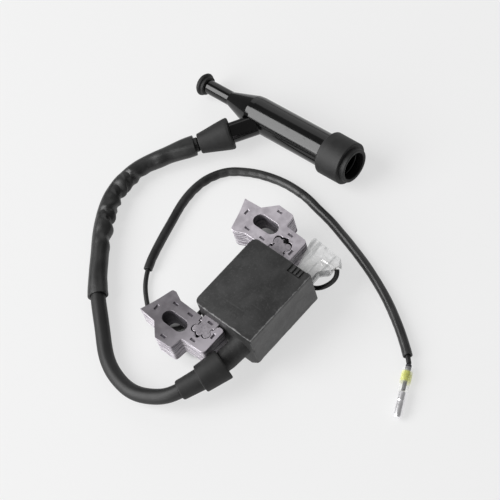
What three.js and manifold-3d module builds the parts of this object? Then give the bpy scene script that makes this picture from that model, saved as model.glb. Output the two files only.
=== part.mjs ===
// Ignition coil for a small horizontal-shaft engine. Millimetres, +Z up.
// Laid flat: z = 0 is the table, the flywheel would sit on the +Y side.
import * as THREE from 'three';
import { mergeVertices } from 'three/addons/utils/BufferGeometryUtils.js';
import Module from 'manifold-3d';

const wasm = await Module();
wasm.setup();

// Sizes.
const fit = 0.3;              // gap between pieces that touch or seat
const windingGap = 0.25;      // gap between the layers of the windings

// laminated core; the mounting slots come out 61 mm apart
const slotInset = 8.9;        // slot centre to the inner edge of its leg
const slotWidth = 6.5;
const slotLength = 13.6;
const stackHeight = 12;
const coilDrop = 6.7;         // the coil body stands this far out above and below the stack
const tipReach = 17.0;        // slot centre to the pole tips, towards the flywheel
const backReach = 37.5;       // slot centre to the back of the coil body
const legGap = 1.5;           // end of the coil body to the inner edge of a leg
const legWidth = 20.0;
const legBack = 21.2;         // slot centre to the back edge of a leg
const poleRadius = 82;        // face towards the flywheel
const limbHalfWidth = 4.15;   // centre limb, half of its width
const limbBehindSlots = 13.1; // centre line of the limb, behind the slot centres
const lockWidthTop = 1.75;    // radius of the two ears that lock the limb in a leg
const keyLength = 3.0;        // pressed marks that hold the sheets together
const keyWidth = 1.2;
const keyDepth = 0.5;

// coil body
const caseHalfLength = 20.1;
const coilRoom = 0.6;         // resin between the windings and the front wall
const wallEnd = 1.6;
const wallFront = 1.2;
const wallTop = 1.6;
const cornerRadius = 3;
const bevelHeight = 5.6;      // bevel under the back of the body
const bevelRun = 5.2;
const bossDiameter = 10.0;
const bossLength = 15.0;
const bossAngle = 4;          // degrees, away from straight out of the end
const bossBore = 7.6;
const bootRoom = 1.0;         // rubber boot round the boss
const bootWall = 1.1;
const bootClear = 0.6;        // boot to the back edge of the leg beside it

// windings
const bobbinWall = 0.5;
const primaryBuild = 0.55;
const secondaryBuild = 0.65;
const flange = 1.0;

// blade and flag terminal
const bladeWidth = 6.3;
const bladeThickness = 0.8;
const bladeReach = 8.4;       // beyond the end of the body
const bladeBack = 29.0;       // blade centre line, behind the slot centres
const bladeRise = 0.3;        // blade above the middle of the stack
const sheet = 0.45;

// leads
const leadDiameter = 7.0;
const sleeveOuter = 8.4;
const sleeveInner = 7.5;
const killDiameter = 2.2;
const killSleeveOuter = 4.3;
const killSleeveInner = 3.1;

// plug cap, along its own axis from the neck end to the open end
const neckLength = 14.6;
const neckDiameter = 7.0;
const coneLength = 14.8;
const barrelDiameter = 16.6;
const barrelLength = 57.0;
const barrelBore = 12.4;
const branchDiameter = 10.1;
const branchReach = 28.0;     // from the barrel axis to the end of the branch
const branchAt = 39.0;        // along the cap, where the branch axis meets the barrel axis
const sealWall = 1.9;
const sealLength = 13.6;
const sealOverlap = 11.0;     // barrel inside the seal
const sealLip = 2.3;
const sealOpening = 15.6;
const lipWall = 1.0;
const terminalBore = 6.4;

// Places that follow from the sizes.
const legInner = caseHalfLength + legGap;
const legOuter = legInner + legWidth;
const slotX = legInner + slotInset;
const slotY = (backReach - tipReach) / 2;
const stackBottom = coilDrop;
const stackTop = coilDrop + stackHeight;
const stackMid = (stackBottom + stackTop) / 2;
const bodyHeight = stackHeight + 2 * coilDrop;
const bodyBackY = slotY - backReach;
const limbY = slotY - limbBehindSlots;
const primaryBore = fit;
const primaryInner = primaryBore + bobbinWall + windingGap;
const secondaryBore = primaryInner + primaryBuild + windingGap;
const secondaryInner = secondaryBore + bobbinWall + windingGap;
const windingFront = limbY + limbHalfWidth + secondaryInner + secondaryBuild;
const bodyFrontY = windingFront + coilRoom + wallFront;
const bladeHeight = stackMid + bladeRise;
const bootBore = bossDiameter / 2 + bootRoom;
const bootRadius = bootBore + bootWall;
const bossBack = legBack + bootClear + bootRadius; // boss axis, behind the slot centres
const sealBore = barrelDiameter / 2 + fit;
const sealDiameter = 2 * (sealBore + sealWall);

const colours = {
  steel: { color: 0x9a969c, roughness: 0.48, metalness: 0.85 },
  housing: { color: 0x35373a, roughness: 0.62, metalness: 0 },
  resin: { color: 0x4c4e50, roughness: 0.5, metalness: 0 },
  bobbin: { color: 0x2b2b2c, roughness: 0.6, metalness: 0 },
  copper: { color: 0xa35a2c, roughness: 0.4, metalness: 0.9 },
  board: { color: 0x2f5b3a, roughness: 0.6, metalness: 0 },
  part: { color: 0x1d1d1e, roughness: 0.5, metalness: 0 },
  brass: { color: 0xb5964f, roughness: 0.35, metalness: 0.9 },
  tin: { color: 0xc9c8c6, roughness: 0.3, metalness: 0.9 },
  spring: { color: 0xb9b9ba, roughness: 0.3, metalness: 0.9 },
  rubber: { color: 0x2c2c2d, roughness: 0.75, metalness: 0 },
  lead: { color: 0x1f1f20, roughness: 0.45, metalness: 0 },
  sleeve: { color: 0x303133, roughness: 0.5, metalness: 0 },
  phenolic: { color: 0x1b1b1d, roughness: 0.2, metalness: 0 },
  ceramic: { color: 0xb9b2a4, roughness: 0.6, metalness: 0 },
  clear: { color: 0xe7e9e3, roughness: 0.2, metalness: 0, transparent: true, opacity: 0.35 },
  tinted: { color: 0xdfe2b8, roughness: 0.2, metalness: 0, transparent: true, opacity: 0.35 },
};

const part = new THREE.Group();
part.name = 'ignition_coil';

// Geometry helpers.
const radians = (degrees) => (degrees * Math.PI) / 180;
const vec = (p) => new THREE.Vector3(p[0], p[1], p[2]);

// Position-only, welded copy of a geometry, without collapsed triangles.
function welded(geometry) {
  const bare = new THREE.BufferGeometry();
  const source = geometry.index ? geometry.toNonIndexed() : geometry;
  bare.setAttribute('position', source.getAttribute('position').clone());
  const merged = mergeVertices(bare, 1e-4);
  const index = merged.index.array;
  const kept = [];
  for (let i = 0; i < index.length; i += 3) {
    const [a, b, c] = [index[i], index[i + 1], index[i + 2]];
    if (a !== b && b !== c && a !== c) kept.push(a, b, c);
  }
  merged.setIndex(kept);
  return merged;
}

function solid(geometry) {
  const shell = welded(geometry);
  return new wasm.Manifold(new wasm.Mesh({
    numProp: 3,
    vertProperties: new Float32Array(shell.getAttribute('position').array),
    triVerts: new Uint32Array(shell.index.array),
  }));
}

function toGeometry(body) {
  const mesh = body.getMesh();
  const geometry = new THREE.BufferGeometry();
  geometry.setAttribute('position', new THREE.BufferAttribute(new Float32Array(mesh.vertProperties), 3));
  geometry.setIndex(new THREE.BufferAttribute(new Uint32Array(mesh.triVerts), 1));
  const flat = geometry.toNonIndexed();
  flat.computeVertexNormals();
  return flat;
}

const join = (first, ...rest) => rest.reduce((a, b) => a.add(b), first);
const cut = (first, ...rest) => rest.reduce((a, b) => a.subtract(b), first);

function box(x0, x1, y0, y1, z0, z1) {
  const geometry = new THREE.BoxGeometry(x1 - x0, y1 - y0, z1 - z0);
  geometry.translate((x0 + x1) / 2, (y0 + y1) / 2, (z0 + z1) / 2);
  return solid(geometry);
}

// Outline with rounded corners: each point is [x, y] or [x, y, radius].
function rounded(points, pieces = 4) {
  const out = [];
  points.forEach((point, i) => {
    const [x, y, radius = 0] = point;
    if (!radius) {
      out.push(new THREE.Vector2(x, y));
      return;
    }
    const here = new THREE.Vector2(x, y);
    const before = points[(i + points.length - 1) % points.length];
    const after = points[(i + 1) % points.length];
    const toBefore = new THREE.Vector2(before[0], before[1]).sub(here).normalize();
    const toAfter = new THREE.Vector2(after[0], after[1]).sub(here).normalize();
    const half = Math.acos(THREE.MathUtils.clamp(toBefore.dot(toAfter), -1, 1)) / 2;
    const run = radius / Math.tan(half);
    const bisector = toBefore.clone().add(toAfter).normalize();
    const middle = bisector.multiplyScalar(radius / Math.sin(half)).add(here);
    const start = toBefore.clone().multiplyScalar(run).add(here).sub(middle);
    const end = toAfter.clone().multiplyScalar(run).add(here).sub(middle);
    let sweep = end.angle() - start.angle();
    if (sweep > Math.PI) sweep -= 2 * Math.PI;
    if (sweep < -Math.PI) sweep += 2 * Math.PI;
    for (let k = 0; k <= pieces; k += 1) {
      out.push(start.clone().rotateAround(new THREE.Vector2(), (sweep * k) / pieces).add(middle));
    }
  });
  return out;
}

// Plan outline raised from z0 to z1.
function prism(outline, z0, z1) {
  const rise = { depth: z1 - z0, bevelEnabled: false };
  const geometry = new THREE.ExtrudeGeometry(new THREE.Shape(outline), rise);
  geometry.translate(0, 0, z0);
  return solid(geometry);
}

// Outline in the YZ plane carried from x0 to x1.
function prismAlongX(outline, x0, x1) {
  const run = { depth: x1 - x0, bevelEnabled: false };
  const geometry = new THREE.ExtrudeGeometry(new THREE.Shape(outline), run);
  geometry.applyMatrix4(new THREE.Matrix4().set(0, 0, 1, x0, 1, 0, 0, 0, 0, 1, 0, 0, 0, 0, 0, 1));
  return solid(geometry);
}

// Revolved profile of [radius, distance] pairs, placed from a point along a direction.
function turned(profile, from, direction, sides = 32) {
  const outline = profile.map(([r, d]) => new THREE.Vector2(Math.max(r, 0), d));
  const geometry = new THREE.LatheGeometry(outline, sides);
  const up = new THREE.Vector3(0, 1, 0);
  const turn = new THREE.Quaternion().setFromUnitVectors(up, vec(direction).normalize());
  geometry.applyQuaternion(turn);
  geometry.translate(from[0], from[1], from[2]);
  return solid(geometry);
}

const rod = (radius, from, direction, start, end, sides = 24) =>
  turned([[0, start], [radius, start], [radius, end], [0, end]], from, direction, sides);

const ringProfile = (inner, outer, start, end) =>
  [[inner, start], [outer, start], [outer, end], [inner, end], [inner, start]];

function add(name, body, look) {
  const geometry = body.isBufferGeometry ? body : toGeometry(body);
  const mesh = new THREE.Mesh(geometry, new THREE.MeshStandardMaterial(colours[look]));
  mesh.name = name;
  part.add(mesh);
  return mesh;
}

// Laminated core.
// End of the limb that locks in a leg, on the +X side; grow makes the socket for it.
function lockShape(grow) {
  const z0 = stackBottom - grow * 4;
  const z1 = stackTop + grow * 4;
  const slab = (x0, x1, half) => box(x0, x1, limbY - half - grow, limbY + half + grow, z0, z1);
  const ear = (x, y, radius) => rod(radius + grow, [x, y, z0], [0, 0, 1], 0, z1 - z0, 20);
  const reach = legInner;
  return join(
    slab(reach - 4, reach + 1.7 + grow, limbHalfWidth),
    slab(reach, reach + 6.0, limbHalfWidth - 1.0),
    ear(reach + 5.6, limbY + limbHalfWidth - lockWidthTop + 0.55, lockWidthTop),
    ear(reach + 5.3, limbY - limbHalfWidth + lockWidthTop - 0.45, lockWidthTop),
    ear(reach + 6.3, limbY + 0.3, lockWidthTop - 0.15),
  );
}

const legOutline = [
  [legOuter - 6.4, tipReach, 0],
  [legOuter - 22.1, tipReach - 5.4, 1.2],
  [legOuter - 22.3, tipReach - 7.4, 0.6],
  [legInner - 0.2, tipReach - 12.2, 0.6],
  [legInner, -8],
  [legInner, -limbBehindSlots - limbHalfWidth - 0.5, 0.6],
  [legInner - 0.75, -limbBehindSlots - limbHalfWidth - 1.4, 0.5],
  [legInner - 0.65, -legBack, 1.3],
  [legOuter - 7.0, -legBack, 1.8],
  [legOuter - 6.5, -8.3, 1.0],
  [legOuter - 0.3, -7.6, 1.5],
  [legOuter, 1.7],
  [legOuter - 5.8, 7.7],
];

// Pole face, a shallow arc between the tip and the nose of the leg.
function poleFace(tip, nose, pieces = 6) {
  const chord = new THREE.Vector2(nose[0] - tip[0], nose[1] - tip[1]);
  const inward = new THREE.Vector2(-chord.y, chord.x).normalize();
  const bow = chord.lengthSq() / (8 * poleRadius);
  const points = [];
  for (let k = 1; k < pieces; k += 1) {
    const t = k / pieces;
    const depth = 4 * bow * t * (1 - t);
    points.push([tip[0] + chord.x * t + inward.x * depth, tip[1] + chord.y * t + inward.y * depth]);
  }
  return points;
}

const tipPoint = [legOuter - 6.4, tipReach];
const nosePoint = [legOuter - 21.0, tipReach - 5.0];
const keyMarks = [
  [slotX - 0.2, 11.6, 0], [legInner + 2.3, 5.5, 90], [legInner + 2.4, -3.5, 90],
  [slotX + 2.1, -13.0, 90], [legInner + 4.3, -19.0, 0], [legOuter - 2.6, -1.0, 90],
];

// The sockets are stamped loose, so that gaps are left beyond the lock.
const lockSlack = { terminalSide: [0.75, 0.3, 0], htSide: [0.35, 0.2, 0] };
const lockBlob = { x: legInner + 8.3, y: limbY - 0.2, radius: 0.9 };

function leg(side) {
  const outline = [legOutline[0], ...poleFace(tipPoint, nosePoint), ...legOutline.slice(1)];
  let body = prism(rounded(outline).map((p) => new THREE.Vector2(p.x, p.y + slotY)), stackBottom, stackTop);
  const half = (slotLength - slotWidth) / 2;
  const slot = new THREE.Shape();
  slot.absarc(slotX, slotY + half, slotWidth / 2, 0, Math.PI);
  slot.absarc(slotX, slotY - half, slotWidth / 2, Math.PI, 2 * Math.PI);
  body = cut(body, prism(slot.getPoints(10), stackBottom - 1, stackTop + 1), lockShape(fit));
  keyMarks.forEach(([x, y, turn]) => {
    const [dx, dy] = turn ? [keyWidth / 2, keyLength / 2] : [keyLength / 2, keyWidth / 2];
    const mark = box(x - dx, x + dx, slotY + y - dy, slotY + y + dy, stackTop - keyDepth, stackTop + 1);
    body = cut(body, mark);
  });
  const slack = side > 0 ? lockSlack.terminalSide : lockSlack.htSide;
  const foot = [lockBlob.x, lockBlob.y, stackBottom - 1];
  const blob = rod(lockBlob.radius, foot, [0, 0, 1], 0, stackHeight + 2, 12);
  body = cut(body, lockShape(fit).translate(slack), blob);
  return side > 0 ? body : body.mirror([1, 0, 0]);
}

add('core_leg_terminal_side', leg(1), 'steel');
add('core_leg_ht_side', leg(-1), 'steel');
const limbMark = box(
  legInner - keyWidth / 2 + 0.2, legInner + keyWidth / 2 + 0.2,
  limbY - keyLength / 2 - 0.6, limbY + keyLength / 2 - 0.6, stackTop - keyDepth, stackTop + 1,
);
add('core_limb', cut(join(
  box(-legInner, legInner, limbY - limbHalfWidth, limbY + limbHalfWidth, stackBottom, stackTop),
  lockShape(0),
  lockShape(0).mirror([1, 0, 0]),
), limbMark, limbMark.mirror([1, 0, 0])), 'steel');

// Coil body.
// YZ outline of the body, drawn in by a wall on each side.
function bodyProfile(front, back, vertical) {
  const slope = bevelRun / bevelHeight;
  const backY = bodyBackY + back;
  const rise = bevelHeight + vertical;
  return [
    new THREE.Vector2(backY + (rise - vertical) * slope, vertical),
    new THREE.Vector2(backY, rise),
    new THREE.Vector2(backY, bodyHeight - vertical),
    new THREE.Vector2(bodyFrontY - front, bodyHeight - vertical),
    new THREE.Vector2(bodyFrontY - front, vertical),
  ];
}

const bossFrom = [-caseHalfLength, slotY - bossBack, stackMid];
const bossDirection = [-Math.cos(radians(bossAngle)), Math.sin(radians(bossAngle)), 0];
const endWallInside = caseHalfLength - wallEnd;
const bladeY = slotY - bladeBack;

const footprint = rounded([
  [-caseHalfLength, bodyBackY, 0.6],
  [caseHalfLength, bodyBackY, 0.6],
  [caseHalfLength, bodyFrontY, cornerRadius],
  [-caseHalfLength, bodyFrontY, cornerRadius],
], 6);

const limbWindow = (side) => {
  const [near, far] = [endWallInside - 1, caseHalfLength + 1];
  const [x0, x1] = side > 0 ? [near, far] : [-far, -near];
  const halfY = limbHalfWidth + fit;
  return box(x0, x1, limbY - halfY, limbY + halfY, stackBottom - fit, stackTop + fit);
};

const notch = { x0: 15.6, y0: bodyBackY + 2.5, y1: bodyBackY + 10.5, depth: 0.7 };
const ribs = [0.25, 0.5, 0.75].map((share) => {
  const y = THREE.MathUtils.lerp(notch.y0, notch.y1, share);
  const low = bodyHeight - notch.depth;
  return box(notch.x0 + 0.6, caseHalfLength - 0.2, y - 0.45, y + 0.45, low - 0.2, bodyHeight - 0.1);
});

const housing = join(
  cut(
    prismAlongX(bodyProfile(0, 0, 0), -caseHalfLength, caseHalfLength)
      .intersect(prism(footprint, -1, bodyHeight + 1)),
    prismAlongX(bodyProfile(wallFront, -2, wallTop), -endWallInside, endWallInside),
    box(notch.x0, caseHalfLength + 1, notch.y0, notch.y1, bodyHeight - notch.depth, bodyHeight + 1),
  ),
  ...ribs,
  turned([
    [0, -wallEnd * 0.6], [bossDiameter / 2 + 0.1, -wallEnd * 0.6], [bossDiameter / 2, bossLength - 6],
    [bossDiameter / 2 - 0.9, bossLength], [0, bossLength],
  ], bossFrom, bossDirection),
);
const pinHole = 1.4;
add('coil_housing', cut(
  housing,
  limbWindow(1),
  limbWindow(-1),
  rod(bossBore / 2, bossFrom, bossDirection, 2.4, bossLength + 1),
  rod(pinHole, bossFrom, bossDirection, -3, 3, 16),
  box(endWallInside - 1, caseHalfLength + 1, bladeY - bladeWidth / 2 - fit, bladeY + bladeWidth / 2 + fit,
    bladeHeight - bladeThickness / 2 - fit, bladeHeight + bladeThickness / 2 + fit),
), 'housing');

const resinDepth = 4.9;
const pinFlange = 2.6;
const pinReach = 3.4;
const pinRoom = rod(pinFlange + fit, bossFrom, bossDirection, -pinReach - fit, 0);
add('potting_resin', cut(
  prismAlongX(bodyProfile(wallFront, fit, wallTop + fit), -endWallInside + fit, endWallInside - fit),
  box(-30, 30, bodyBackY + fit + resinDepth, bodyFrontY + 1, -1, bodyHeight + 1),
  pinRoom,
), 'resin');

// Windings on the limb.
function sleeveAlongX(innerGrow, outerGrow, x0, x1) {
  const outline = (grow) => {
    const [y, z, r] = [limbHalfWidth + grow, stackHeight / 2 + grow, Math.min(grow, 2) + 0.2];
    return rounded([[limbY - y, stackMid - z, r], [limbY + y, stackMid - z, r],
      [limbY + y, stackMid + z, r], [limbY - y, stackMid + z, r]], 3);
  };
  return cut(prismAlongX(outline(outerGrow), x0, x1), prismAlongX(outline(innerGrow), x0 - 1, x1 + 1));
}

const spoolHalf = endWallInside - fit;

function spool(name, bore, windingStart, build, half) {
  const wall = [bore, bore + bobbinWall];
  const rim = windingStart + build;
  add(`${name}_bobbin`, join(
    sleeveAlongX(wall[0], wall[1], -half, half),
    sleeveAlongX(wall[0], rim, -half, -half + flange),
    sleeveAlongX(wall[0], rim, half - flange, half),
  ), 'bobbin');
  const layers = half - flange - fit;
  add(`${name}_winding`, sleeveAlongX(windingStart, rim, -layers, layers), 'copper');
}
spool('primary', primaryBore, primaryInner, primaryBuild, spoolHalf);
spool('secondary', secondaryBore, secondaryInner, secondaryBuild, spoolHalf);

// Switching module.
const boardFrontY = limbY - limbHalfWidth - secondaryInner - secondaryBuild - 0.6;
const boardThickness = 1.6;
const boardBackY = boardFrontY - boardThickness;
const boardLow = 4.6;
add('control_board', box(-14.5, 14.0, boardBackY, boardFrontY, boardLow, bodyHeight - 4.2), 'board');
add('power_transistor', join(
  box(-9.5, 0.5, boardBackY - fit - 3.2, boardBackY - fit, stackMid - 4.7, stackMid + 4.3),
  box(-9.5, 0.5, boardBackY - fit - 1.4, boardBackY - fit, stackMid + 4.3, stackMid + 7.7),
), 'part');
const capacitorFoot = [8.4, boardBackY - fit - 2.15, boardLow + 1.8];
add('trigger_capacitor', rod(2.1, capacitorFoot, [0, 0, 1], 0, 8.5, 20), 'ceramic');

// Terminals on the body.
add('ht_contact_pin', turned(
  [[0, -pinReach], [pinFlange, -pinReach], [pinFlange, -2.2], [1.1, -2.2], [1.1, 8.2], [0, 11.6]],
  bossFrom, bossDirection, 20,
), 'brass');
add('blade_terminal', box(
  endWallInside - 3.0, caseHalfLength + bladeReach,
  bladeY - bladeWidth / 2, bladeY + bladeWidth / 2,
  bladeHeight - bladeThickness / 2, bladeHeight + bladeThickness / 2,
), 'tin');

// Right-angle push-on terminal: a rolled receptacle over the blade and a crimp barrel square to it.
const receptacle = {
  x0: caseHalfLength + 2.2, x1: caseHalfLength + 10.3,
  half: bladeWidth / 2 + fit + sheet, low: bladeHeight - bladeThickness / 2 - fit - sheet,
  high: bladeHeight + bladeThickness / 2 + fit + sheet,
};
const channel = [
  [bladeY - 1.0, receptacle.high], [bladeY - receptacle.half, receptacle.high],
  [bladeY - receptacle.half, receptacle.low], [bladeY + receptacle.half, receptacle.low],
  [bladeY + receptacle.half, receptacle.high], [bladeY + 1.0, receptacle.high],
  [bladeY + 1.0, receptacle.high - sheet], [bladeY + receptacle.half - sheet, receptacle.high - sheet],
  [bladeY + receptacle.half - sheet, receptacle.low + sheet],
  [bladeY - receptacle.half + sheet, receptacle.low + sheet],
  [bladeY - receptacle.half + sheet, receptacle.high - sheet], [bladeY - 1.0, receptacle.high - sheet],
].map(([y, z]) => new THREE.Vector2(y, z));
const barrel = { x: caseHalfLength + 13.3, y0: bladeY - 1.6, y1: bladeY - 8.5, radius: 1.9 };
add('flag_terminal', cut(
  join(
    prismAlongX(channel, receptacle.x0, receptacle.x1),
    box(receptacle.x1 - 1.2, barrel.x + 0.6, barrel.y0 - 1.6, bladeY + 2.4,
      receptacle.low, receptacle.low + sheet),
    rod(barrel.radius, [barrel.x, barrel.y0, bladeHeight], [0, -1, 0], 0, barrel.y0 - barrel.y1, 20),
  ),
  rod(killDiameter / 2 + 0.15, [barrel.x, barrel.y1 + 4, bladeHeight], [0, -1, 0], 0, 6, 16),
), 'tin');

const coverOutline = [
  [1.2, 4.7], [4.4, 4.7], [17.7, 8.5], [19.1, 7.6], [17.5, -8.6], [15.1, -10.2], [11.3, -9.6],
  [6.5, -4.7], [1.2, -4.7],
].map(([x, y]) => new THREE.Vector2(caseHalfLength + x, bladeY + y));

// Moves every edge of a clockwise outline inwards by the same wall.
function inset(outline, wall) {
  return outline.map((point, i) => {
    const before = outline[(i + outline.length - 1) % outline.length];
    const after = outline[(i + 1) % outline.length];
    const a = point.clone().sub(before).normalize();
    const b = after.clone().sub(point).normalize();
    const normalA = new THREE.Vector2(a.y, -a.x);
    const normalB = new THREE.Vector2(b.y, -b.x);
    const lean = normalA.clone().add(normalB);
    return lean.multiplyScalar((2 * wall) / lean.lengthSq()).add(point);
  });
}
const coverWall = 0.5;
const pocketHalf = barrel.radius + fit;
const cover = { low: bladeHeight - pocketHalf - coverWall, high: bladeHeight + pocketHalf + coverWall };
const pocket = [bladeHeight - pocketHalf, bladeHeight + pocketHalf];
add('flag_cover', cut(
  prism(coverOutline, cover.low, cover.high),
  prism(inset(coverOutline, coverWall), ...pocket),
  box(caseHalfLength, caseHalfLength + 2.4, bladeY - 4.2, bladeY + 4.2, ...pocket),
  box(barrel.x - 3.6, barrel.x + 2.1, bladeY - 12, bladeY - 8, cover.low - 1, pocket[1]),
), 'clear');

// Leads.
// A cord path kept as the same sampled points for every tube that shares it.
class SampledPath extends THREE.Curve {
  constructor(points) {
    super();
    this.points = points;
  }

  getPoint(t) {
    const place = Math.min(Math.max(t, 0), 1) * (this.points.length - 1);
    const i = Math.min(Math.floor(place), this.points.length - 2);
    return this.points[i].clone().lerp(this.points[i + 1], place - i);
  }

  getPointAt(t) {
    return this.getPoint(t);
  }

  getTangentAt(t) {
    const step = 0.5 / (this.points.length - 1);
    return this.getPoint(t + step).sub(this.getPoint(t - step)).normalize();
  }
}

function samples(points, count) {
  return new THREE.CatmullRomCurve3(points.map(vec), false, 'centripetal').getSpacedPoints(count);
}

function tube(points, outer, inner, sides) {
  const circle = (radius) => {
    const shape = [];
    for (let k = 0; k < sides; k += 1) {
      const angle = (2 * Math.PI * (k + 0.5)) / sides;
      shape.push(new THREE.Vector2(radius * Math.cos(angle), radius * Math.sin(angle)));
    }
    return shape;
  };
  const section = new THREE.Shape(circle(outer));
  if (inner) section.holes.push(new THREE.Path(circle(inner).reverse()));
  const geometry = new THREE.ExtrudeGeometry(section, {
    steps: points.length - 1, bevelEnabled: false, extrudePath: new SampledPath(points),
  });
  return toGeometry(solid(geometry));
}

// High-tension lead, from the outlet boot to the boot on the plug cap.
const htLeadPoints = [
  [-52.3, -10.1, 9.8], [-54.9, -8.8, 9.2], [-58.1, -5.2, 7.4], [-60.9, 0.2, 5.8], [-63.4, 6.3, 4.4],
  [-64.2, 12.8, 3.9], [-62.5, 22.8, 3.8], [-58.5, 31.6, 3.8], [-52.4, 39.3, 3.9], [-46.3, 46.8, 4.2],
  [-39.5, 55.4, 4.4],
  [-32.5, 62.6, 4.4], [-24.4, 69.6, 4.4], [-16.2, 76.6, 4.4], [-8.2, 82.8, 4.4], [4.4, 89.2, 4.4],
  [18.4, 90.4, 4.4], [29.0, 86.5, 5.2], [40.4, 79.4, 6.7], [49.33, 73.14, 7.36],
];
const htSamples = [vec(htLeadPoints[0]), ...samples(htLeadPoints.slice(1), 20)];
add('ht_lead', tube(htSamples, leadDiameter / 2, 0, 12), 'lead');
add('ht_lead_sleeve', tube(htSamples.slice(9, -1), sleeveOuter / 2, sleeveInner / 2, 12), 'sleeve');

// Kill lead: round the end of the body, under both legs behind the body, out past the pole tip.
const killPoints = [
  [33.4, -28.4, 13.0], [33.0, -29.7, 12.4], [31.0, -30.2, 10.8], [27.9, -28.4, 8.2], [25.1, -25.9, 6.0],
  [23.2, -22.6, 4.4], [22.6, -16.0, 2.4], [23.4, -8.0, 1.4], [24.2, 0.5, 1.3], [21.8, 9.0, 1.3],
  [14.0, 13.6, 1.3], [3.0, 14.4, 1.3], [-9.0, 13.8, 1.3], [-20.0, 13.4, 1.3], [-28.6, 16.4, 1.3],
  [-32.2, 23.2, 1.3], [-31.2, 30.4, 1.3], [-27.1, 36.4, 1.3], [-22.3, 42.4, 1.4], [-17.4, 46.4, 1.8],
  [-12.4, 49.2, 2.2], [-6.4, 51.6, 2.2], [1.0, 54.0, 2.2], [9.8, 56.5, 2.2], [20.0, 59.4, 2.2],
  [29.2, 60.6, 2.2], [37.4, 59.7, 2.2], [44.2, 56.6, 2.2], [49.3, 51.9, 2.2], [55.0, 41.2, 2.2],
  [58.2, 28.9, 2.2],
  [58.6, 15.2, 2.2], [57.0, 6.4, 2.2], [55.2, -3.5, 2.2], [52.3, -14.2, 2.2], [49.0, -25.2, 2.2],
  [45.0, -36.6, 2.2], [39.8, -48.4, 2.2], [34.6, -58.2, 2.2], [29.0, -67.0, 2.2], [23.0, -75.4, 2.3],
  [19.6, -79.1, 2.6],
];
const killSamples = samples(killPoints, 46);
const sleeveStart = 19;
add('kill_lead', tube(killSamples, killDiameter / 2, 0, 8), 'lead');
const killSleeve = killSamples.slice(sleeveStart, -1);
add('kill_lead_sleeve', tube(killSleeve, killSleeveOuter / 2, killSleeveInner / 2, 8), 'sleeve');

// Bullet terminal and its clear sleeve at the end of the kill lead.
const bulletFrom = [19.3, -79.4, 2.6];
const bulletDirection = [-0.888, -0.46, 0];
add('bullet_terminal', turned([
  [0, 0], [1.25, 0], [1.25, 5.6], [0.9, 6.4], [0.9, 13.2], [1.6, 13.8], [1.6, 24.2], [1.2, 25.1], [0, 25.5],
], bulletFrom, bulletDirection, 20), 'tin');
add('bullet_sleeve', turned(ringProfile(2.0, 2.5, 1.0, 12.8), bulletFrom, bulletDirection, 24), 'tinted');

// Rubber boot on the outlet.
const bootFrom = [-caseHalfLength - 11.3, slotY - bossBack - 0.15, stackMid];
const bootDirection = [-0.955, 0.285, -0.08];
const bootTail = [bootFrom[0] - 12.3, bootFrom[1] + 4.4, stackMid - 1.1];
const bootTailDirection = [-0.88, 0.44, -0.18];
add('outlet_boot', cut(
  join(
    turned([
      [0, 0], [bootRadius, 0], [bootRadius - 0.75, 11.8], [bootRadius - 1.7, 12.4], [0, 12.4],
    ], bootFrom, bootDirection),
    turned([[0, -2], [5.0, -2], [4.9, 0.3], [4.55, 9.4], [0, 9.4]], bootTail, bootTailDirection),
  ),
  rod(bootBore, bootFrom, bootDirection, -1, 8.6),
), 'rubber');

// Plug cap.
const capFrom = [77.4, 91.9, barrelDiameter / 2 - 1.1];
const capTo = [80.4, 2.6, sealDiameter / 2 + 0.75];
const capDirection = vec(capTo).sub(vec(capFrom)).normalize().toArray();
const capPoint = (along) => vec(capFrom).addScaledVector(vec(capDirection), along).toArray();
const branchDirection = vec([-0.824, 0.566, -0.045]).normalize().toArray();
const branchFrom = capPoint(branchAt);
const barrelStart = neckLength + coneLength;
const barrelEnd = barrelStart + barrelLength;
const neckBore = 2.5;
const contactBore = 1.6;
const cavityStart = branchAt + 12;
const onCap = (profile, sides = 40) => turned(profile, capFrom, capDirection, sides);

add('plug_cap', cut(
  join(
    onCap([
      [0, 0], [neckDiameter / 2, 0], [neckDiameter / 2, neckLength],
      [barrelDiameter / 2 - 0.5, barrelStart - 0.6], [barrelDiameter / 2, barrelStart + 0.6],
      [barrelDiameter / 2, barrelEnd], [0, barrelEnd],
    ]),
    rod(branchDiameter / 2, branchFrom, branchDirection, 0, branchReach, 32),
  ),
  rod(neckBore, capFrom, capDirection, -1, branchAt - 8, 20),
  rod(contactBore, capFrom, capDirection, branchAt - 9, cavityStart + 1, 16),
  rod(barrelBore / 2, capFrom, capDirection, cavityStart, barrelEnd + 1, 32),
  rod(leadDiameter / 2 + fit, branchFrom, branchDirection, 7, branchReach + 1, 24),
), 'phenolic');

// Screw that bites into the core of the lead, in the branch.
add('lead_screw', turned([
  [0, 8.0], [2.8, 8.0], [2.8, 9.0], [0.9, 9.4], [0.9, 16.5], [0, 19.5],
], branchFrom, branchDirection, 20), 'brass');

add('suppressor_resistor', onCap([
  [0, 6], [1.0, 6], [1.0, 7], [2.1, 7], [2.1, 21], [1.0, 21], [1.0, 22], [0, 22],
], 20), 'ceramic');

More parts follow.
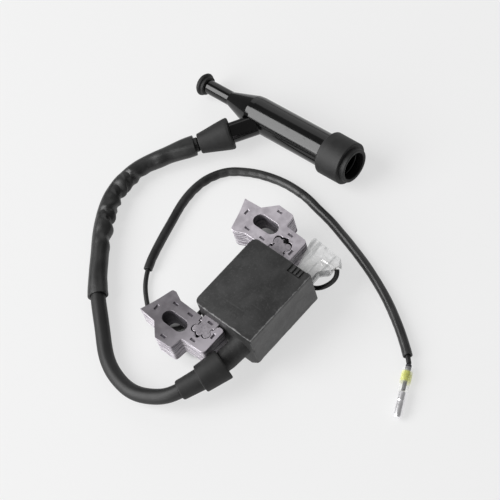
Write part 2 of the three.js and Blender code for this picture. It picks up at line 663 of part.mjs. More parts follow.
const springStart = 22.6;
const springLength = 7.4;
class Coil extends THREE.Curve {
  constructor(radius, length, turns) {
    super();
    Object.assign(this, { radius, length, turns });
  }

  getPoint(t) {
    const angle = 2 * Math.PI * this.turns * t;
    return new THREE.Vector3(this.radius * Math.cos(angle), this.length * t, this.radius * Math.sin(angle));
  }
}
const wire = new THREE.Shape();
wire.absarc(0, 0, 0.25, 0, 2 * Math.PI);
const springGeometry = new THREE.ExtrudeGeometry(wire, {
  steps: 60, curveSegments: 6, bevelEnabled: false, extrudePath: new Coil(1.85, springLength, 5),
});
const alongCap = new THREE.Quaternion().setFromUnitVectors(new THREE.Vector3(0, 1, 0), vec(capDirection));
springGeometry.applyQuaternion(alongCap);
springGeometry.translate(...capPoint(springStart));
add('contact_spring', toGeometry(solid(springGeometry)), 'spring');

add('contact_rod', onCap([
  [0, branchAt - 8.9], [contactBore - fit, branchAt - 8.9], [contactBore - fit, cavityStart + fit],
  [3.2, cavityStart + fit], [3.2, cavityStart + 1.5], [0, cavityStart + 1.5],
], 20), 'brass');

const clipStart = cavityStart + 2.0;
add('plug_terminal', onCap([
  [0, clipStart], [4.6, clipStart], [4.6, clipStart + 12], [terminalBore / 2, clipStart + 12],
  [terminalBore / 2, clipStart + 2], [0, clipStart + 2],
], 24), 'brass');

add('neck_knob', onCap([
  [0, -5.0], [2.8, -5.0], [5.2, -4.2], [5.75, -3.0], [5.2, -1.7], [4.4, -1.4], [4.4, -fit],
  [neckBore - fit, -fit], [neckBore - fit, 5.2], [0, 5.2],
], 32), 'rubber');

const sealStart = barrelEnd - sealOverlap;
const sealEnd = sealStart + sealLength;
const lipRadius = sealOpening / 2 + lipWall;
add('plug_seal', onCap([
  [sealBore, sealStart], [sealDiameter / 2, sealStart], [sealDiameter / 2 - 0.2, sealEnd],
  [lipRadius, sealEnd + 0.3], [lipRadius, sealEnd + sealLip], [sealOpening / 2, sealEnd + sealLip],
  [sealOpening / 2, barrelEnd + fit], [sealBore, barrelEnd + fit], [sealBore, sealStart],
], 40), 'rubber');

const leadBootBore = branchDiameter / 2 + fit;
add('lead_boot', turned([
  [leadBootBore, 19.2], [7.8, 19.2], [7.75, 20.6], [7.1, 24.5], [5.6, 31.5], [4.9, 35.3], [0, 35.3],
  [0, branchReach + fit], [leadBootBore, branchReach + fit], [leadBootBore, 19.2],
], branchFrom, branchDirection, 32), 'rubber');

export default part;
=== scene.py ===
import math

import bmesh
import bpy
import numpy as np
from mathutils import Matrix, Vector, geometry, noise


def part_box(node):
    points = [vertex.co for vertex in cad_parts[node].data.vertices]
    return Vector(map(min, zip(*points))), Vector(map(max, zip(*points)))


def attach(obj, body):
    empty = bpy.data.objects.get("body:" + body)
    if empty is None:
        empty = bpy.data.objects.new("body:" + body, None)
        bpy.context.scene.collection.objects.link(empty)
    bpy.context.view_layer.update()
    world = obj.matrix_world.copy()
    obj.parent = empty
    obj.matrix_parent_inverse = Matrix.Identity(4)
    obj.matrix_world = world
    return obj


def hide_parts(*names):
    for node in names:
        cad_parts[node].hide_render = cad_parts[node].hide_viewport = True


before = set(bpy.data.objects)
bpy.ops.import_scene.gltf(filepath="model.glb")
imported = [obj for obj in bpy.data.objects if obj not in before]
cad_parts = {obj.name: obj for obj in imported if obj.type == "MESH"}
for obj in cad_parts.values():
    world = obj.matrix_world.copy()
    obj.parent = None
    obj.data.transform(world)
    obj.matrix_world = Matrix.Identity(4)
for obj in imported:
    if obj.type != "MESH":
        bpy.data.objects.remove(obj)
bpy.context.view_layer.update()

# Lengths are in millimetres in the tables and in metres in the meshes.
mm = 0.001
scene = bpy.context.scene


# Camera, laid out first so that the leads can be judged from it.
cameraView = {
    "place": (-192.10, -335.88, 636.20),
    "right": (0.65673, -0.73118, -0.18462),
    "up": (0.69908, 0.49845, 0.51268),
    "lens": 119.25,
    "sensor": 36.0,
}


def makeCamera(view):
    data = bpy.data.cameras.new("camera")
    data.lens, data.sensor_width = view["lens"], view["sensor"]
    data.clip_start, data.clip_end = 0.05, 20
    camera = bpy.data.objects.new("camera", data)
    scene.collection.objects.link(camera)
    right, up = Vector(view["right"]).normalized(), Vector(view["up"]).normalized()
    turn = Matrix((right, up, right.cross(up))).transposed().to_4x4()
    camera.matrix_world = Matrix.Translation(Vector(view["place"]) * mm) @ turn
    scene.camera = camera


makeCamera(cameraView)
print("camera placed")


def wobble(x, y, z):
    return noise.noise(Vector((x, y, z)))


# Mesh helpers.
def newPiece(name, points, faces):
    mesh = bpy.data.meshes.new(name)
    mesh.from_pydata([tuple(p) for p in points], [], faces)
    mesh.validate()
    shape = bmesh.new()
    shape.from_mesh(mesh)
    bmesh.ops.recalc_face_normals(shape, faces=shape.faces)
    shape.to_mesh(mesh)
    shape.free()
    piece = bpy.data.objects.new(name, mesh)
    scene.collection.objects.link(piece)
    return piece


def settle(piece, finish, slotName, *nodes, sharp=38, body="coil"):
    # Shades the piece, gives it its finish and ties it to the frame.
    for face in piece.data.polygons:
        face.use_smooth = True
    piece.data.set_sharp_from_angle(angle=math.radians(sharp))
    piece.data.materials.clear()
    piece.data.materials.append(finish)
    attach(piece, body)
    if nodes:
        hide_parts(*nodes)
    return piece


def softened(corners, pieces=5, closed=False):
    # Rounds the corners of a path of (x, y, radius).
    out = []
    count = len(corners)
    for i, (x, y, radius) in enumerate(corners):
        here = Vector((x, y))
        inside = closed or 0 < i < count - 1
        if not radius or not inside:
            out.append((x, y))
            continue
        before = (Vector(corners[i - 1][:2]) - here)
        after = (Vector(corners[(i + 1) % count][:2]) - here)
        half = before.angle(after) / 2
        if half > math.radians(89):
            out.append((x, y))
            continue
        run = min(radius / math.tan(half), before.length * 0.48, after.length * 0.48)
        start, end = here + before.normalized() * run, here + after.normalized() * run
        for k in range(pieces + 1):
            t = k / pieces
            bend = (1 - t) ** 2 * start + 2 * t * (1 - t) * here + t ** 2 * end
            out.append((bend.x, bend.y))
    return out


class Route:
    # An evenly stepped centre line with a frame that doesn't twist.
    def __init__(self, points):
        self.points = np.array(points, float)
        steps = np.linalg.norm(np.diff(self.points, axis=0), axis=1)
        self.distance = np.concatenate([[0], np.cumsum(steps)])
        self.length = self.distance[-1]
        tangents = np.gradient(self.points, self.distance, axis=0, edge_order=1)
        self.tangents = tangents / np.linalg.norm(tangents, axis=1)[:, None]
        side = np.cross(self.tangents[0], [0, 0, 1.0])
        if np.linalg.norm(side) < 1e-3:
            side = np.array([1.0, 0, 0])
        sides = []
        for tangent in self.tangents:
            side = side - tangent * (side @ tangent)
            side = side / np.linalg.norm(side)
            sides.append(side)
        self.sides = np.array(sides)
        self.curvature = np.gradient(self.tangents, self.distance, axis=0)

    def at(self, where):
        pick = lambda rows: np.array([np.interp(where, self.distance, rows[:, k]) for k in range(3)])
        place, tangent, side = pick(self.points), pick(self.tangents), pick(self.sides)
        tangent = tangent / np.linalg.norm(tangent)
        side = side - tangent * (side @ tangent)
        side = side / np.linalg.norm(side)
        beyond = min(0, where) + max(0, where - self.length)
        return place + tangent * beyond, tangent, side, np.cross(tangent, side), pick(self.curvature)


def straight(start, direction, length):
    start, direction = np.array(start, float), np.array(direction, float)
    direction = direction / np.linalg.norm(direction)
    return Route([start + direction * length * k / 8 for k in range(9)])


def smoothRoute(corners, spacing, relax):
    # Catmull-Rom through the route's points, stepped evenly and then relaxed.
    p = np.array(corners, float)
    p = np.vstack([2 * p[0] - p[1], p, 2 * p[-1] - p[-2]])
    dense = []
    for i in range(1, len(p) - 2):
        for t in np.linspace(0, 1, 16, endpoint=False):
            a, b, c, d = p[i - 1], p[i], p[i + 1], p[i + 2]
            dense.append(0.5 * (2 * b + (c - a) * t + (2 * a - 5 * b + 4 * c - d) * t * t
                                + (3 * b - a - 3 * c + d) * t ** 3))
    dense.append(p[-2])

    def restep(points):
        gone = np.concatenate([[0], np.cumsum(np.linalg.norm(np.diff(points, axis=0), axis=1))])
        marks = np.linspace(0, gone[-1], max(8, int(round(gone[-1] / spacing))) + 1)
        return np.stack([np.interp(marks, gone, points[:, k]) for k in range(3)], axis=1)

    points = restep(np.array(dense))
    for _ in range(relax):
        points[1:-1] = 0.25 * points[:-2] + 0.5 * points[1:-1] + 0.25 * points[2:]
    return Route(restep(points))


def sweep(name, route, profile, sides=40, shape=None):
    # Carries rings of (distance, radius) along a route; a radius of 0 closes an end.
    closed = profile[0] == profile[-1]
    rings = profile[:-1] if closed else profile
    points, faces, starts = [], [], []
    for where, radius in rings:
        place, tangent, side, other, bend = route.at(where)
        starts.append(len(points))
        if radius <= 1e-6:
            points.append(place * mm)
            continue
        for k in range(sides):
            angle = 2 * math.pi * k / sides
            out = side * math.cos(angle) + other * math.sin(angle)
            reach = shape(where, angle, radius, out, bend) if shape else radius
            points.append((place + out * reach) * mm)
    pairs = list(zip(range(len(rings)), range(1, len(rings)))) + ([(len(rings) - 1, 0)] if closed else [])
    for i, j in pairs:
        a, b = starts[i], starts[j]
        for k in range(sides):
            n = (k + 1) % sides
            if rings[i][1] <= 1e-6:
                faces.append((a, b + k, b + n))
            elif rings[j][1] <= 1e-6:
                faces.append((a + k, b, a + n))
            else:
                faces.append((a + k, b + k, b + n, a + n))
    return newPiece(name, points, faces)


def turned(name, route, corners, sides, finish, slotName, node, sharp=38, shape=None, pieces=5, body="coil"):
    # A settled piece of revolution from its profile of (distance, radius, corner radius).
    piece = sweep(name, route, softened(corners, pieces), sides, shape)
    return settle(piece, finishes[finish], slotName, node, sharp=sharp, body=body)


# Shader helpers.
class Signal:
    # A node's output, so that shader maths reads as an expression.
    def __init__(self, tree, socket):
        self.tree, self.socket = tree, socket

    def sum(self, operation, first, second=None):
        node = self.tree.nodes.new("ShaderNodeMath")
        node.operation = operation
        for socket, value in zip(node.inputs, (first, second)):
            if isinstance(value, Signal):
                self.tree.links.new(value.socket, socket)
            elif value is not None:
                socket.default_value = value
        return Signal(self.tree, node.outputs[0])

    def least(self, other):
        return self.sum("MINIMUM", self, other)

    def most(self, other):
        return self.sum("MAXIMUM", self, other)

    def size(self):
        return self.sum("ABSOLUTE", self)


for word, operation in {"add": "ADD", "sub": "SUBTRACT", "mul": "MULTIPLY", "pow": "POWER"}.items():
    setattr(Signal, f"__{word}__", lambda self, other, does=operation: self.sum(does, self, other))
    setattr(Signal, f"__r{word}__", lambda self, other, does=operation: self.sum(does, other, self))


class Finish:
    # A material around one Principled shader; fixed values sit on its own sockets.
    def __init__(self, name, **fixed):
        self.material = bpy.data.materials.new(name)
        self.material.use_nodes = True
        self.tree = self.material.node_tree
        self.shader = self.tree.nodes["Principled BSDF"]
        for socket, value in fixed.items():
            self.shader.inputs[socket.replace("_", " ")].default_value = value
        self.place = self.node("ShaderNodeTexCoord", output="Object")

    def node(self, kind, settings=None, output=0, **inputs):
        node = self.tree.nodes.new(kind)
        for key, value in (settings or {}).items():
            if key == "stops":
                ramp = node.color_ramp
                while len(ramp.elements) < len(value):
                    ramp.elements.new(0.5)
                for element, (place, shade) in zip(ramp.elements, value):
                    element.position, element.color = place, (*shade, 1)
            else:
                setattr(node, key, value)
        for key, value in inputs.items():
            name = key.replace("_", " ")
            numbered = name.startswith("in") and name[2:].isdigit()
            socket = node.inputs[int(name[2:]) if numbered else name]
            if isinstance(value, Signal):
                self.tree.links.new(value.socket, socket)
            else:
                socket.default_value = value
        return Signal(self.tree, node.outputs[output])

    def drive(self, **inputs):
        for key, value in inputs.items():
            self.tree.links.new(value.socket, self.shader.inputs[key.replace("_", " ")])
        return self.material

    def done(self, colour, rough, relief, depth, strength, **more):
        # Closes a finish: its colour, roughness and relief, and what else varies.
        return self.drive(Base_Color=colour, Roughness=rough,
                          Normal=self.bump(relief, depth, strength), **more)

    def grain(self, scale, detail=3, rough=0.55, stretch=None, distortion=0.0):
        place = self.place
        if stretch:
            place = self.node("ShaderNodeMapping", Vector=place, Scale=stretch)
        return self.node("ShaderNodeTexNoise", Vector=place, Scale=scale, Detail=detail,
                         Roughness=rough, Distortion=distortion)

    def step(self, value, low, high, to0=0.0, to1=1.0):
        return self.node("ShaderNodeMapRange", {"interpolation_type": "SMOOTHSTEP"}, Value=value,
                         From_Min=low, From_Max=high, To_Min=to0, To_Max=to1)

    def mix(self, factor, first, second):
        paint = lambda c: c if isinstance(c, Signal) else (*c, 1)
        return self.node("ShaderNodeMix", {"data_type": "RGBA"}, output=2, in0=factor,
                         in6=paint(first), in7=paint(second))

    def bump(self, height, depth, strength):
        return self.node("ShaderNodeBump", Height=height, Distance=depth, Strength=strength)

    def away(self, across, along, squeeze=1.0):
        # Distance from a point, given its distances along two axes.
        return (across * across + along * along * squeeze) ** 0.5

    def axes(self):
        parts = self.tree.nodes.new("ShaderNodeSeparateXYZ")
        self.tree.links.new(self.place.socket, parts.inputs[0])
        return [Signal(self.tree, s) for s in parts.outputs]


def grey(level, warm=0.0):
    # Linear colour of a neutral tone given on the 0 to 255 display scale.
    v = level / 255
    linear = v / 12.92 if v <= 0.04045 else ((v + 0.055) / 1.055) ** 2.4
    return (linear * (1 + warm), linear, linear * (1 - warm))


def scratches(paint, scale, turn, cover):
    # Thin broken lines in one direction, from stretched noise.
    place = paint.node("ShaderNodeMapping", Vector=paint.place, Rotation=(0, 0, math.radians(turn)),
                       Scale=(1, 0.045, 1))
    lines = paint.node("ShaderNodeTexNoise", Vector=place, Scale=scale, Detail=2, Roughness=0.5)
    patches = paint.grain(scale * 0.12, 2)
    return paint.step(lines, cover, cover + 0.03) * paint.step(patches, 0.5, 0.62)


steel = {"slotX": 30.5, "slotY": 10.25, "slotHalf": 3.55, "lockX": 27.0, "lockY": -2.85, "top": 18.7,
         "voidShadeX": 28.95, "voidShadeY": -3.3}


def sheetSteel(name, tone, edgeTone, slotShade, brighter, rearShade=0.0, voidShade=0.0):
    # Worn silicon-steel sheet. The tones darken its face, its cut edges and the inside of the slot; inside
    # the slot the darkening is painted shade. Its top can be made lighter towards −Y.
    paint = Finish(name, IOR=1.5)
    x, y, z = paint.axes()
    face = lambda *c: tuple(v * tone for v in c)
    cutEdge = lambda *c: tuple(v * edgeTone for v in c)
    mottle = paint.grain(220, 5, 0.6)
    fine = paint.grain(2600, 3)
    layers = paint.grain(1, 3, stretch=(110, 110, 2100))
    normal = paint.node("ShaderNodeNewGeometry", output="Normal")
    upward = paint.node("ShaderNodeSeparateXYZ", output=2, Vector=normal)
    rearward = paint.node("ShaderNodeSeparateXYZ", output=1, Vector=normal) * -1.0
    side = 1 - paint.step(upward.size(), 0.55, 0.85)
    marks = scratches(paint, 900, 35, 0.64).most(scratches(paint, 760, -52, 0.65))
    top = paint.mix(paint.step(mottle, 0.35, 0.68), face(0.43, 0.40, 0.435), face(0.56, 0.525, 0.565))
    top = paint.mix((1 - paint.step(y, -11 * mm, 14 * mm)) * brighter, top, (0.62, 0.58, 0.63))
    edge = paint.mix(paint.step(layers, 0.40, 0.54), cutEdge(0.22, 0.18, 0.23), cutEdge(0.92, 0.88, 0.93))
    # walls that face −Y are painted darker as shade, by the amount given
    edge = paint.mix(paint.step(rearward, 0.5, 0.9) * rearShade, edge, (0.05, 0.045, 0.055))
    colour = paint.mix(side, top, edge)
    colour = paint.mix(marks * 0.25, colour, face(0.74, 0.72, 0.75))
    stain = paint.step(paint.grain(70, 3, distortion=0.6), 0.60, 0.74)
    colour = paint.mix(stain * 0.25, colour, face(0.42, 0.38, 0.30))
    # painted shade inside the slot and the lock, and in the pressed marks
    alongSlot = ((y - steel["slotY"] * mm).size() - steel["slotHalf"] * mm).most(0.0)
    acrossSlot = x.size() - steel["slotX"] * mm
    fromSlot = paint.away(alongSlot, acrossSlot)
    inSlot = (1 - paint.step(fromSlot, 3.3 * mm, 3.5 * mm)) * side
    colour = paint.mix(inSlot * slotShade, colour, (0.05, 0.045, 0.055))
    fromLock = paint.away(x.size() - steel["lockX"] * mm, y - steel["lockY"] * mm)
    inLock = (1 - paint.step(fromLock, 4.6 * mm, 5.2 * mm)) * side
    colour = paint.mix(inLock * 0.95, colour, (0.012, 0.011, 0.013))
    below = 1 - paint.step(z, (steel["top"] - 0.16) * mm, (steel["top"] - 0.06) * mm)
    sunkShade = below * paint.step(upward, 0.25, 0.5)
    colour = paint.mix(sunkShade * 0.75, colour, (0.05, 0.045, 0.055))
    # painted shade: a dark patch over the leg and the limb beside each rounded ear, where the void is
    ragged = paint.grain(900, 4, 0.7)
    fromVoidShade = paint.away(x - steel["voidShadeX"] * mm, y - steel["voidShadeY"] * mm, 0.6) + (ragged - 0.5) * 0.0012
    colour = paint.mix((1 - paint.step(fromVoidShade, 1.05 * mm, 1.25 * mm)) * voidShade, colour, (0.006, 0.006, 0.007))
    grime = (1 - paint.step(fromLock, 3.6 * mm, 5.2 * mm)) * paint.step(ragged, 0.52, 0.66)
    colour = paint.mix(grime * 0.5, colour, (0.03, 0.028, 0.032))
    rough = 0.42 + 0.14 * mottle + 0.10 * side - 0.08 * marks
    relief = fine * 0.5 + marks * -0.5
    return paint.done(colour, rough, relief, 0.00002, 0.4, Metallic=0.75 - 0.45 * side)


housing = {"half": 20.1, "back": -27.25, "front": 6.35, "top": 25.4, "eased": 0.35}


def mouldedHousing(look):
    paint = Finish("moulded_housing", IOR=1.5)
    x, y, z = paint.axes()
    back, front, top = (look[key] * mm for key in ("back", "front", "top"))
    fromEnd, fromSide, fromTop = look["half"] * mm - x.size(), (y - back).least(front - y), z.least(top - z)
    rim = fromEnd.least(fromSide).most(fromEnd.most(fromSide).least(fromTop))
    ragged = paint.grain(420, 4, 0.7)
    # lighter ragged edges, partly real wear and partly painted highlight, most along the −X end and the back
    # and on top
    wearAndHighlight = 1 - paint.step(rim - (ragged - 0.52) * 0.0022, 0.0000, 0.0007)
    onTop = paint.step(z, 24.6 * mm, 25.2 * mm)
    backEdge = 1 - paint.step(y, -26.6 * mm, -25.6 * mm)
    endEdge = 1 - paint.step(x, -19.7 * mm, -18.9 * mm)
    wearAndHighlightWeight = ((backEdge * 0.8).most(endEdge * 1.25) + 0.15) * (onTop * 0.8 + 0.2)
    cloud = paint.grain(90, 5, 0.62, distortion=0.4)
    speck = paint.step(paint.grain(1500, 2), 0.70, 0.76)
    mottle = paint.grain(1000, 5, 0.7)
    marks = scratches(paint, 620, 28, 0.65).most(scratches(paint, 800, -20, 0.67))
    colour = paint.mix(paint.step(cloud, 0.34, 0.70), grey(24), grey(46))
    colour = paint.mix(paint.step(mottle, 0.48, 0.72) * 0.35, colour, grey(72))
    colour = paint.mix(marks * 0.06, colour, grey(110))
    colour = paint.mix(speck * 0.35, colour, grey(110))
    colour = paint.mix((wearAndHighlight * wearAndHighlightWeight * 0.55).least(1), colour, grey(150))
    rough = 0.50 + 0.18 * cloud - 0.1 * wearAndHighlight
    relief = paint.grain(2400, 3) * 0.6 + cloud * 1.5 - marks * 0.4
    return paint.done(colour, rough, relief, 0.00004, 0.55)


def castResin():
    paint = Finish("cast_resin", IOR=1.5)
    cloud = paint.grain(150, 5, 0.6, distortion=0.5)
    pits = paint.step(paint.node("ShaderNodeTexVoronoi", Vector=paint.place, Scale=520.0), 0.05, 0.22)
    colour = paint.mix(paint.step(cloud, 0.3, 0.7), grey(66), grey(92))
    colour = paint.mix((1 - pits) * 0.4, colour, grey(44))
    return paint.done(colour, 0.36 + 0.25 * cloud, cloud + pits * 0.25, 0.00018, 0.6)


def blackRubber(name="black_rubber", low=8, high=25, dust=0.19, rough=0.52, hollow=None):
    # Matt rubber with a bloom of dust. A hollow piece is painted black near its axis, as shade inside it.
    paint = Finish(name, IOR=1.5)
    cloud = paint.grain(120, 5, 0.62, distortion=0.6)
    fine = paint.grain(3000, 3)
    bloom = paint.step(paint.grain(260, 4, 0.7), 0.5, 0.78)
    colour = paint.mix(paint.step(cloud, 0.3, 0.72), grey(low), grey(high))
    colour = paint.mix(bloom * dust, colour, grey(high + 30))
    if hollow:
        (dx, dy, dz), gone = fromStart(paint, hollow["openEnd"], capAlong)
        fromAxis = (dx * dx + dy * dy + dz * dz - gone * gone) ** 0.5
        hollowShade = 1 - paint.step(fromAxis, *(edge * mm for edge in hollow["sealShade"]))
        colour = paint.mix(hollowShade, colour, (0.0004,) * 3)
    return paint.done(colour, rough + 0.22 * cloud, fine + cloud * 1.2, 0.00004, 0.5)


def leadJacket():
    paint = Finish("lead_jacket", IOR=1.52)
    cloud = paint.grain(200, 4)
    fine = paint.grain(1800, 3)
    dust = paint.step(paint.grain(700, 3, 0.7), 0.60, 0.74)
    colour = paint.mix(paint.step(cloud, 0.35, 0.7), grey(6), grey(14))
    colour = paint.mix(dust * 0.12, colour, grey(70))
    return paint.done(colour, 0.46 + 0.16 * cloud, fine * 0.5 + cloud, 0.00004, 0.4)


def vinylSleeve():
    paint = Finish("vinyl_sleeve", IOR=1.53)
    cloud = paint.grain(110, 4, distortion=0.4)
    fine = paint.grain(900, 4)
    scuff = paint.step(paint.grain(480, 4, 0.7), 0.60, 0.74)
    colour = paint.mix(paint.step(cloud, 0.32, 0.7), grey(20), grey(40))
    colour = paint.mix(scuff * 0.2, colour, grey(90))
    return paint.done(colour, 0.30 + 0.20 * cloud, fine * 0.5 + cloud * 2, 0.00005, 0.5)


def glossPhenolic():
    paint = Finish("gloss_phenolic", IOR=1.47)
    cloud = paint.grain(90, 3)
    speck = paint.step(paint.grain(1400, 3, 0.7), 0.64, 0.72)
    marks = scratches(paint, 700, 8, 0.66)
    colour = paint.mix(paint.step(cloud, 0.35, 0.7), grey(3), grey(8))
    colour = paint.mix(speck * 0.08, colour, grey(70))
    return paint.done(colour, 0.09 + 0.08 * cloud + 0.2 * marks + 0.10 * speck,
                      cloud + paint.grain(1600, 2) * 0.05, 0.00003, 0.35)


def tinPlate(name="tin_plate", low=(0.80, 0.79, 0.78), high=(0.94, 0.93, 0.91)):
    paint = Finish(name, Metallic=1.0)
    cloud = paint.grain(420, 4, 0.6)
    marks = scratches(paint, 1500, 30, 0.62)
    colour = paint.mix(paint.step(cloud, 0.3, 0.7), low, high)
    return paint.done(colour, 0.22 + 0.22 * cloud + 0.1 * marks, cloud + marks * 0.4, 0.00003, 0.5)


def clearCover():
    # Clear moulding. Its faces that look up are painted light and glow a little as painted light, the rest
    # are dark grey with darker streaks. Its alpha hides a part of what lies behind it.
    paint = Finish("clear_cover", IOR=1.47, Emission_Strength=0.16)
    cloud = paint.grain(160, 4, 0.6, distortion=0.8)
    folds = paint.grain(110, 3, 0.6, stretch=(1, 0.4, 1), distortion=1.2)
    normal = paint.node("ShaderNodeNewGeometry", output="Normal")
    upward = paint.step(paint.node("ShaderNodeSeparateXYZ", output=2, Vector=normal), 0.2, 0.8)
    streak = paint.step(paint.grain(560, 3, 0.6, stretch=(0.14, 1, 1)), 0.50, 0.57)
    colour = paint.mix(upward, (0.22, 0.23, 0.24), (0.90, 0.90, 0.90))
    colour = paint.mix(streak * 0.75, colour, (0.20, 0.21, 0.21))
    return paint.done(colour, 0.10 + 0.16 * cloud, folds * 2 + cloud, 0.0004, 0.6,
                      Alpha=0.30 + 0.08 * upward + 0.20 * streak,
                      Emission_Color=paint.mix(upward, (0.1, 0.1, 0.1), (1, 1, 1)))


cap = {
    "neckEnd": (77.4, 91.9, 7.2), "openEnd": (80.4, 2.6, 11.25), "branch": (-0.824, 0.566, -0.045),
    "neck": 14.6, "cone": 14.8, "barrel": 57.0, "neckRadius": 3.5, "barrelRadius": 8.3, "bore": 6.2,
    "branchAt": 39.0, "branchRadius": 5.05, "branchReach": 28.0, "sealShade": (7.0, 7.3),
}
bullet = {"from": (19.3, -79.4, 2.6), "along": (-0.888, -0.46, 0.0), "length": 25.5,
          "bodyFrom": (12.0, 13.5), "yellowFrom": (3.2, 4.2), "yellowTo": (8.0, 9.5)}


def unit(v):
    v = np.array(v, float)
    return v / np.linalg.norm(v)


capAlong = [float(c) for c in unit(np.array(cap["openEnd"]) - np.array(cap["neckEnd"]))]


def fromStart(paint, start, along):
    # Distances from a point along each axis, and how far that is along a line.
    parts = [axis - place * mm for axis, place in zip(paint.axes(), start)]
    return parts, parts[0] * along[0] + parts[1] * along[1] + parts[2] * along[2]


def tintedCover(look):
    # Thin clear tube, yellow over the crimp and almost colourless beyond it.
    paint = Finish("tinted_cover", IOR=1.47, Emission_Strength=0.06)
    cloud = paint.grain(400, 4, 0.6, distortion=0.8)
    _, gone = fromStart(paint, look["from"], look["along"])
    starts, ends = ([edge * mm for edge in look[key]] for key in ("yellowFrom", "yellowTo"))
    yellow = paint.step(gone, *starts) * (1 - paint.step(gone, *ends))
    colour = paint.mix(yellow, (0.93, 0.93, 0.90), (0.78, 0.80, 0.22))
    # It glows faintly, yellow over the crimp, as painted light.
    return paint.done(colour, 0.08 + 0.14 * cloud, cloud, 0.0002, 0.6,
                      Alpha=0.05 + 0.28 * yellow + 0.10 * cloud,
                      Emission_Color=paint.mix(yellow, (1, 1, 1), (0.9, 0.9, 0.4)))


def bulletTin(look):
    # Tinned brass, darker where it is crimped.
    paint = Finish("bullet_tin", Metallic=1.0)
    cloud = paint.grain(420, 4, 0.6)
    _, gone = fromStart(paint, look["from"], look["along"])
    body = paint.step(gone, *(edge * mm for edge in look["bodyFrom"]))
    colour = paint.mix(body, (0.11, 0.11, 0.12), (0.96, 0.95, 0.97))
    return paint.done(colour, 0.26 + 0.2 * cloud, cloud, 0.00003, 0.5)


def enamelledCopper():
    paint = Finish("enamelled_copper", Metallic=0.9)
    bands = {"wave_type": "BANDS", "bands_direction": "X", "wave_profile": "SIN"}
    turns = paint.node("ShaderNodeTexWave", bands, output=1, Vector=paint.place, Scale=620.0,
                       Distortion=0.4, Detail=1.0)
    cloud = paint.grain(300, 3)
    colour = paint.mix(turns, (0.20, 0.07, 0.02), (0.62, 0.27, 0.10))
    return paint.done(colour, 0.28 + 0.2 * cloud, turns, 0.00008, 0.8)


def mouldedBobbin():
    paint = Finish("moulded_bobbin", IOR=1.5)
    cloud = paint.grain(200, 4)
    colour = paint.mix(cloud, grey(34), grey(54))
    return paint.done(colour, 0.5 + 0.2 * cloud, paint.grain(2200, 3), 0.00003, 0.5)


def glassBoard():
    paint = Finish("glass_board", IOR=1.5)
    weave = paint.node("ShaderNodeTexChecker", output=1, Vector=paint.place, Scale=1400.0)
    cloud = paint.grain(300, 3)
    tracks = paint.step(paint.grain(260, 0, stretch=(1, 1, 0.3)), 0.53, 0.55)
    colour = paint.mix(weave * 0.3 + 0.2 * cloud, (0.02, 0.12, 0.05), (0.05, 0.22, 0.10))
    colour = paint.mix(tracks * 0.5, colour, (0.10, 0.30, 0.12))
    return paint.done(colour, 0.3 + 0.2 * cloud, tracks, 0.00003, 0.6)


def firedCeramic():
    paint = Finish("fired_ceramic", IOR=1.5)
    cloud = paint.grain(500, 4)
    pits = paint.step(paint.grain(1800, 2), 0.62, 0.7)
    colour = paint.mix(cloud, (0.42, 0.38, 0.30), (0.60, 0.56, 0.47))
    colour = paint.mix(pits * 0.3, colour, (0.25, 0.22, 0.18))
    return paint.done(colour, 0.5 + 0.2 * cloud, pits, 0.00004, 0.6)


finishes = {
    "steel": sheetSteel("sheet_steel", 1.12, 0.80, 0.75, 0.0, voidShade=1.0),
    # a copy whose face is painted darker as shade and whose cut edges are painted a little lighter, with its
    # top lighter towards −Y and its walls that face −Y painted darker as shade
    "oxidised": sheetSteel("oxidised_steel", 0.40, 0.92, 0.95, 0.7, rearShade=0.55),
    # a copy whose face is painted darker as shade
    "limb": sheetSteel("limb_steel", 0.80, 0.80, 0.75, 0.0, voidShade=1.0),
    "housing": mouldedHousing(housing),
    "resin": castResin(),
    "rubber": blackRubber(),
    "jacket": leadJacket(),
    "sleeve": vinylSleeve(),
    "phenolic": glossPhenolic(),
    "tin": tinPlate(),
    "brass": tinPlate("turned_brass", (0.48, 0.34, 0.12), (0.72, 0.55, 0.24)),
    "spring": tinPlate("spring_wire", (0.45, 0.45, 0.46), (0.66, 0.66, 0.67)),
    "clear": clearCover(),
    "tinted": tintedCover(bullet),
    "bullet": bulletTin(bullet),
    "seal": blackRubber("seal_rubber", 9, 27, 0.22, 0.50, cap),
    "copper": enamelledCopper(),
    "bobbin": mouldedBobbin(),
    "board": glassBoard(),
    "ceramic": firedCeramic(),
    "package": blackRubber("moulded_package", 22, 32, 0.1),
}
print("finishes made:", len(finishes))


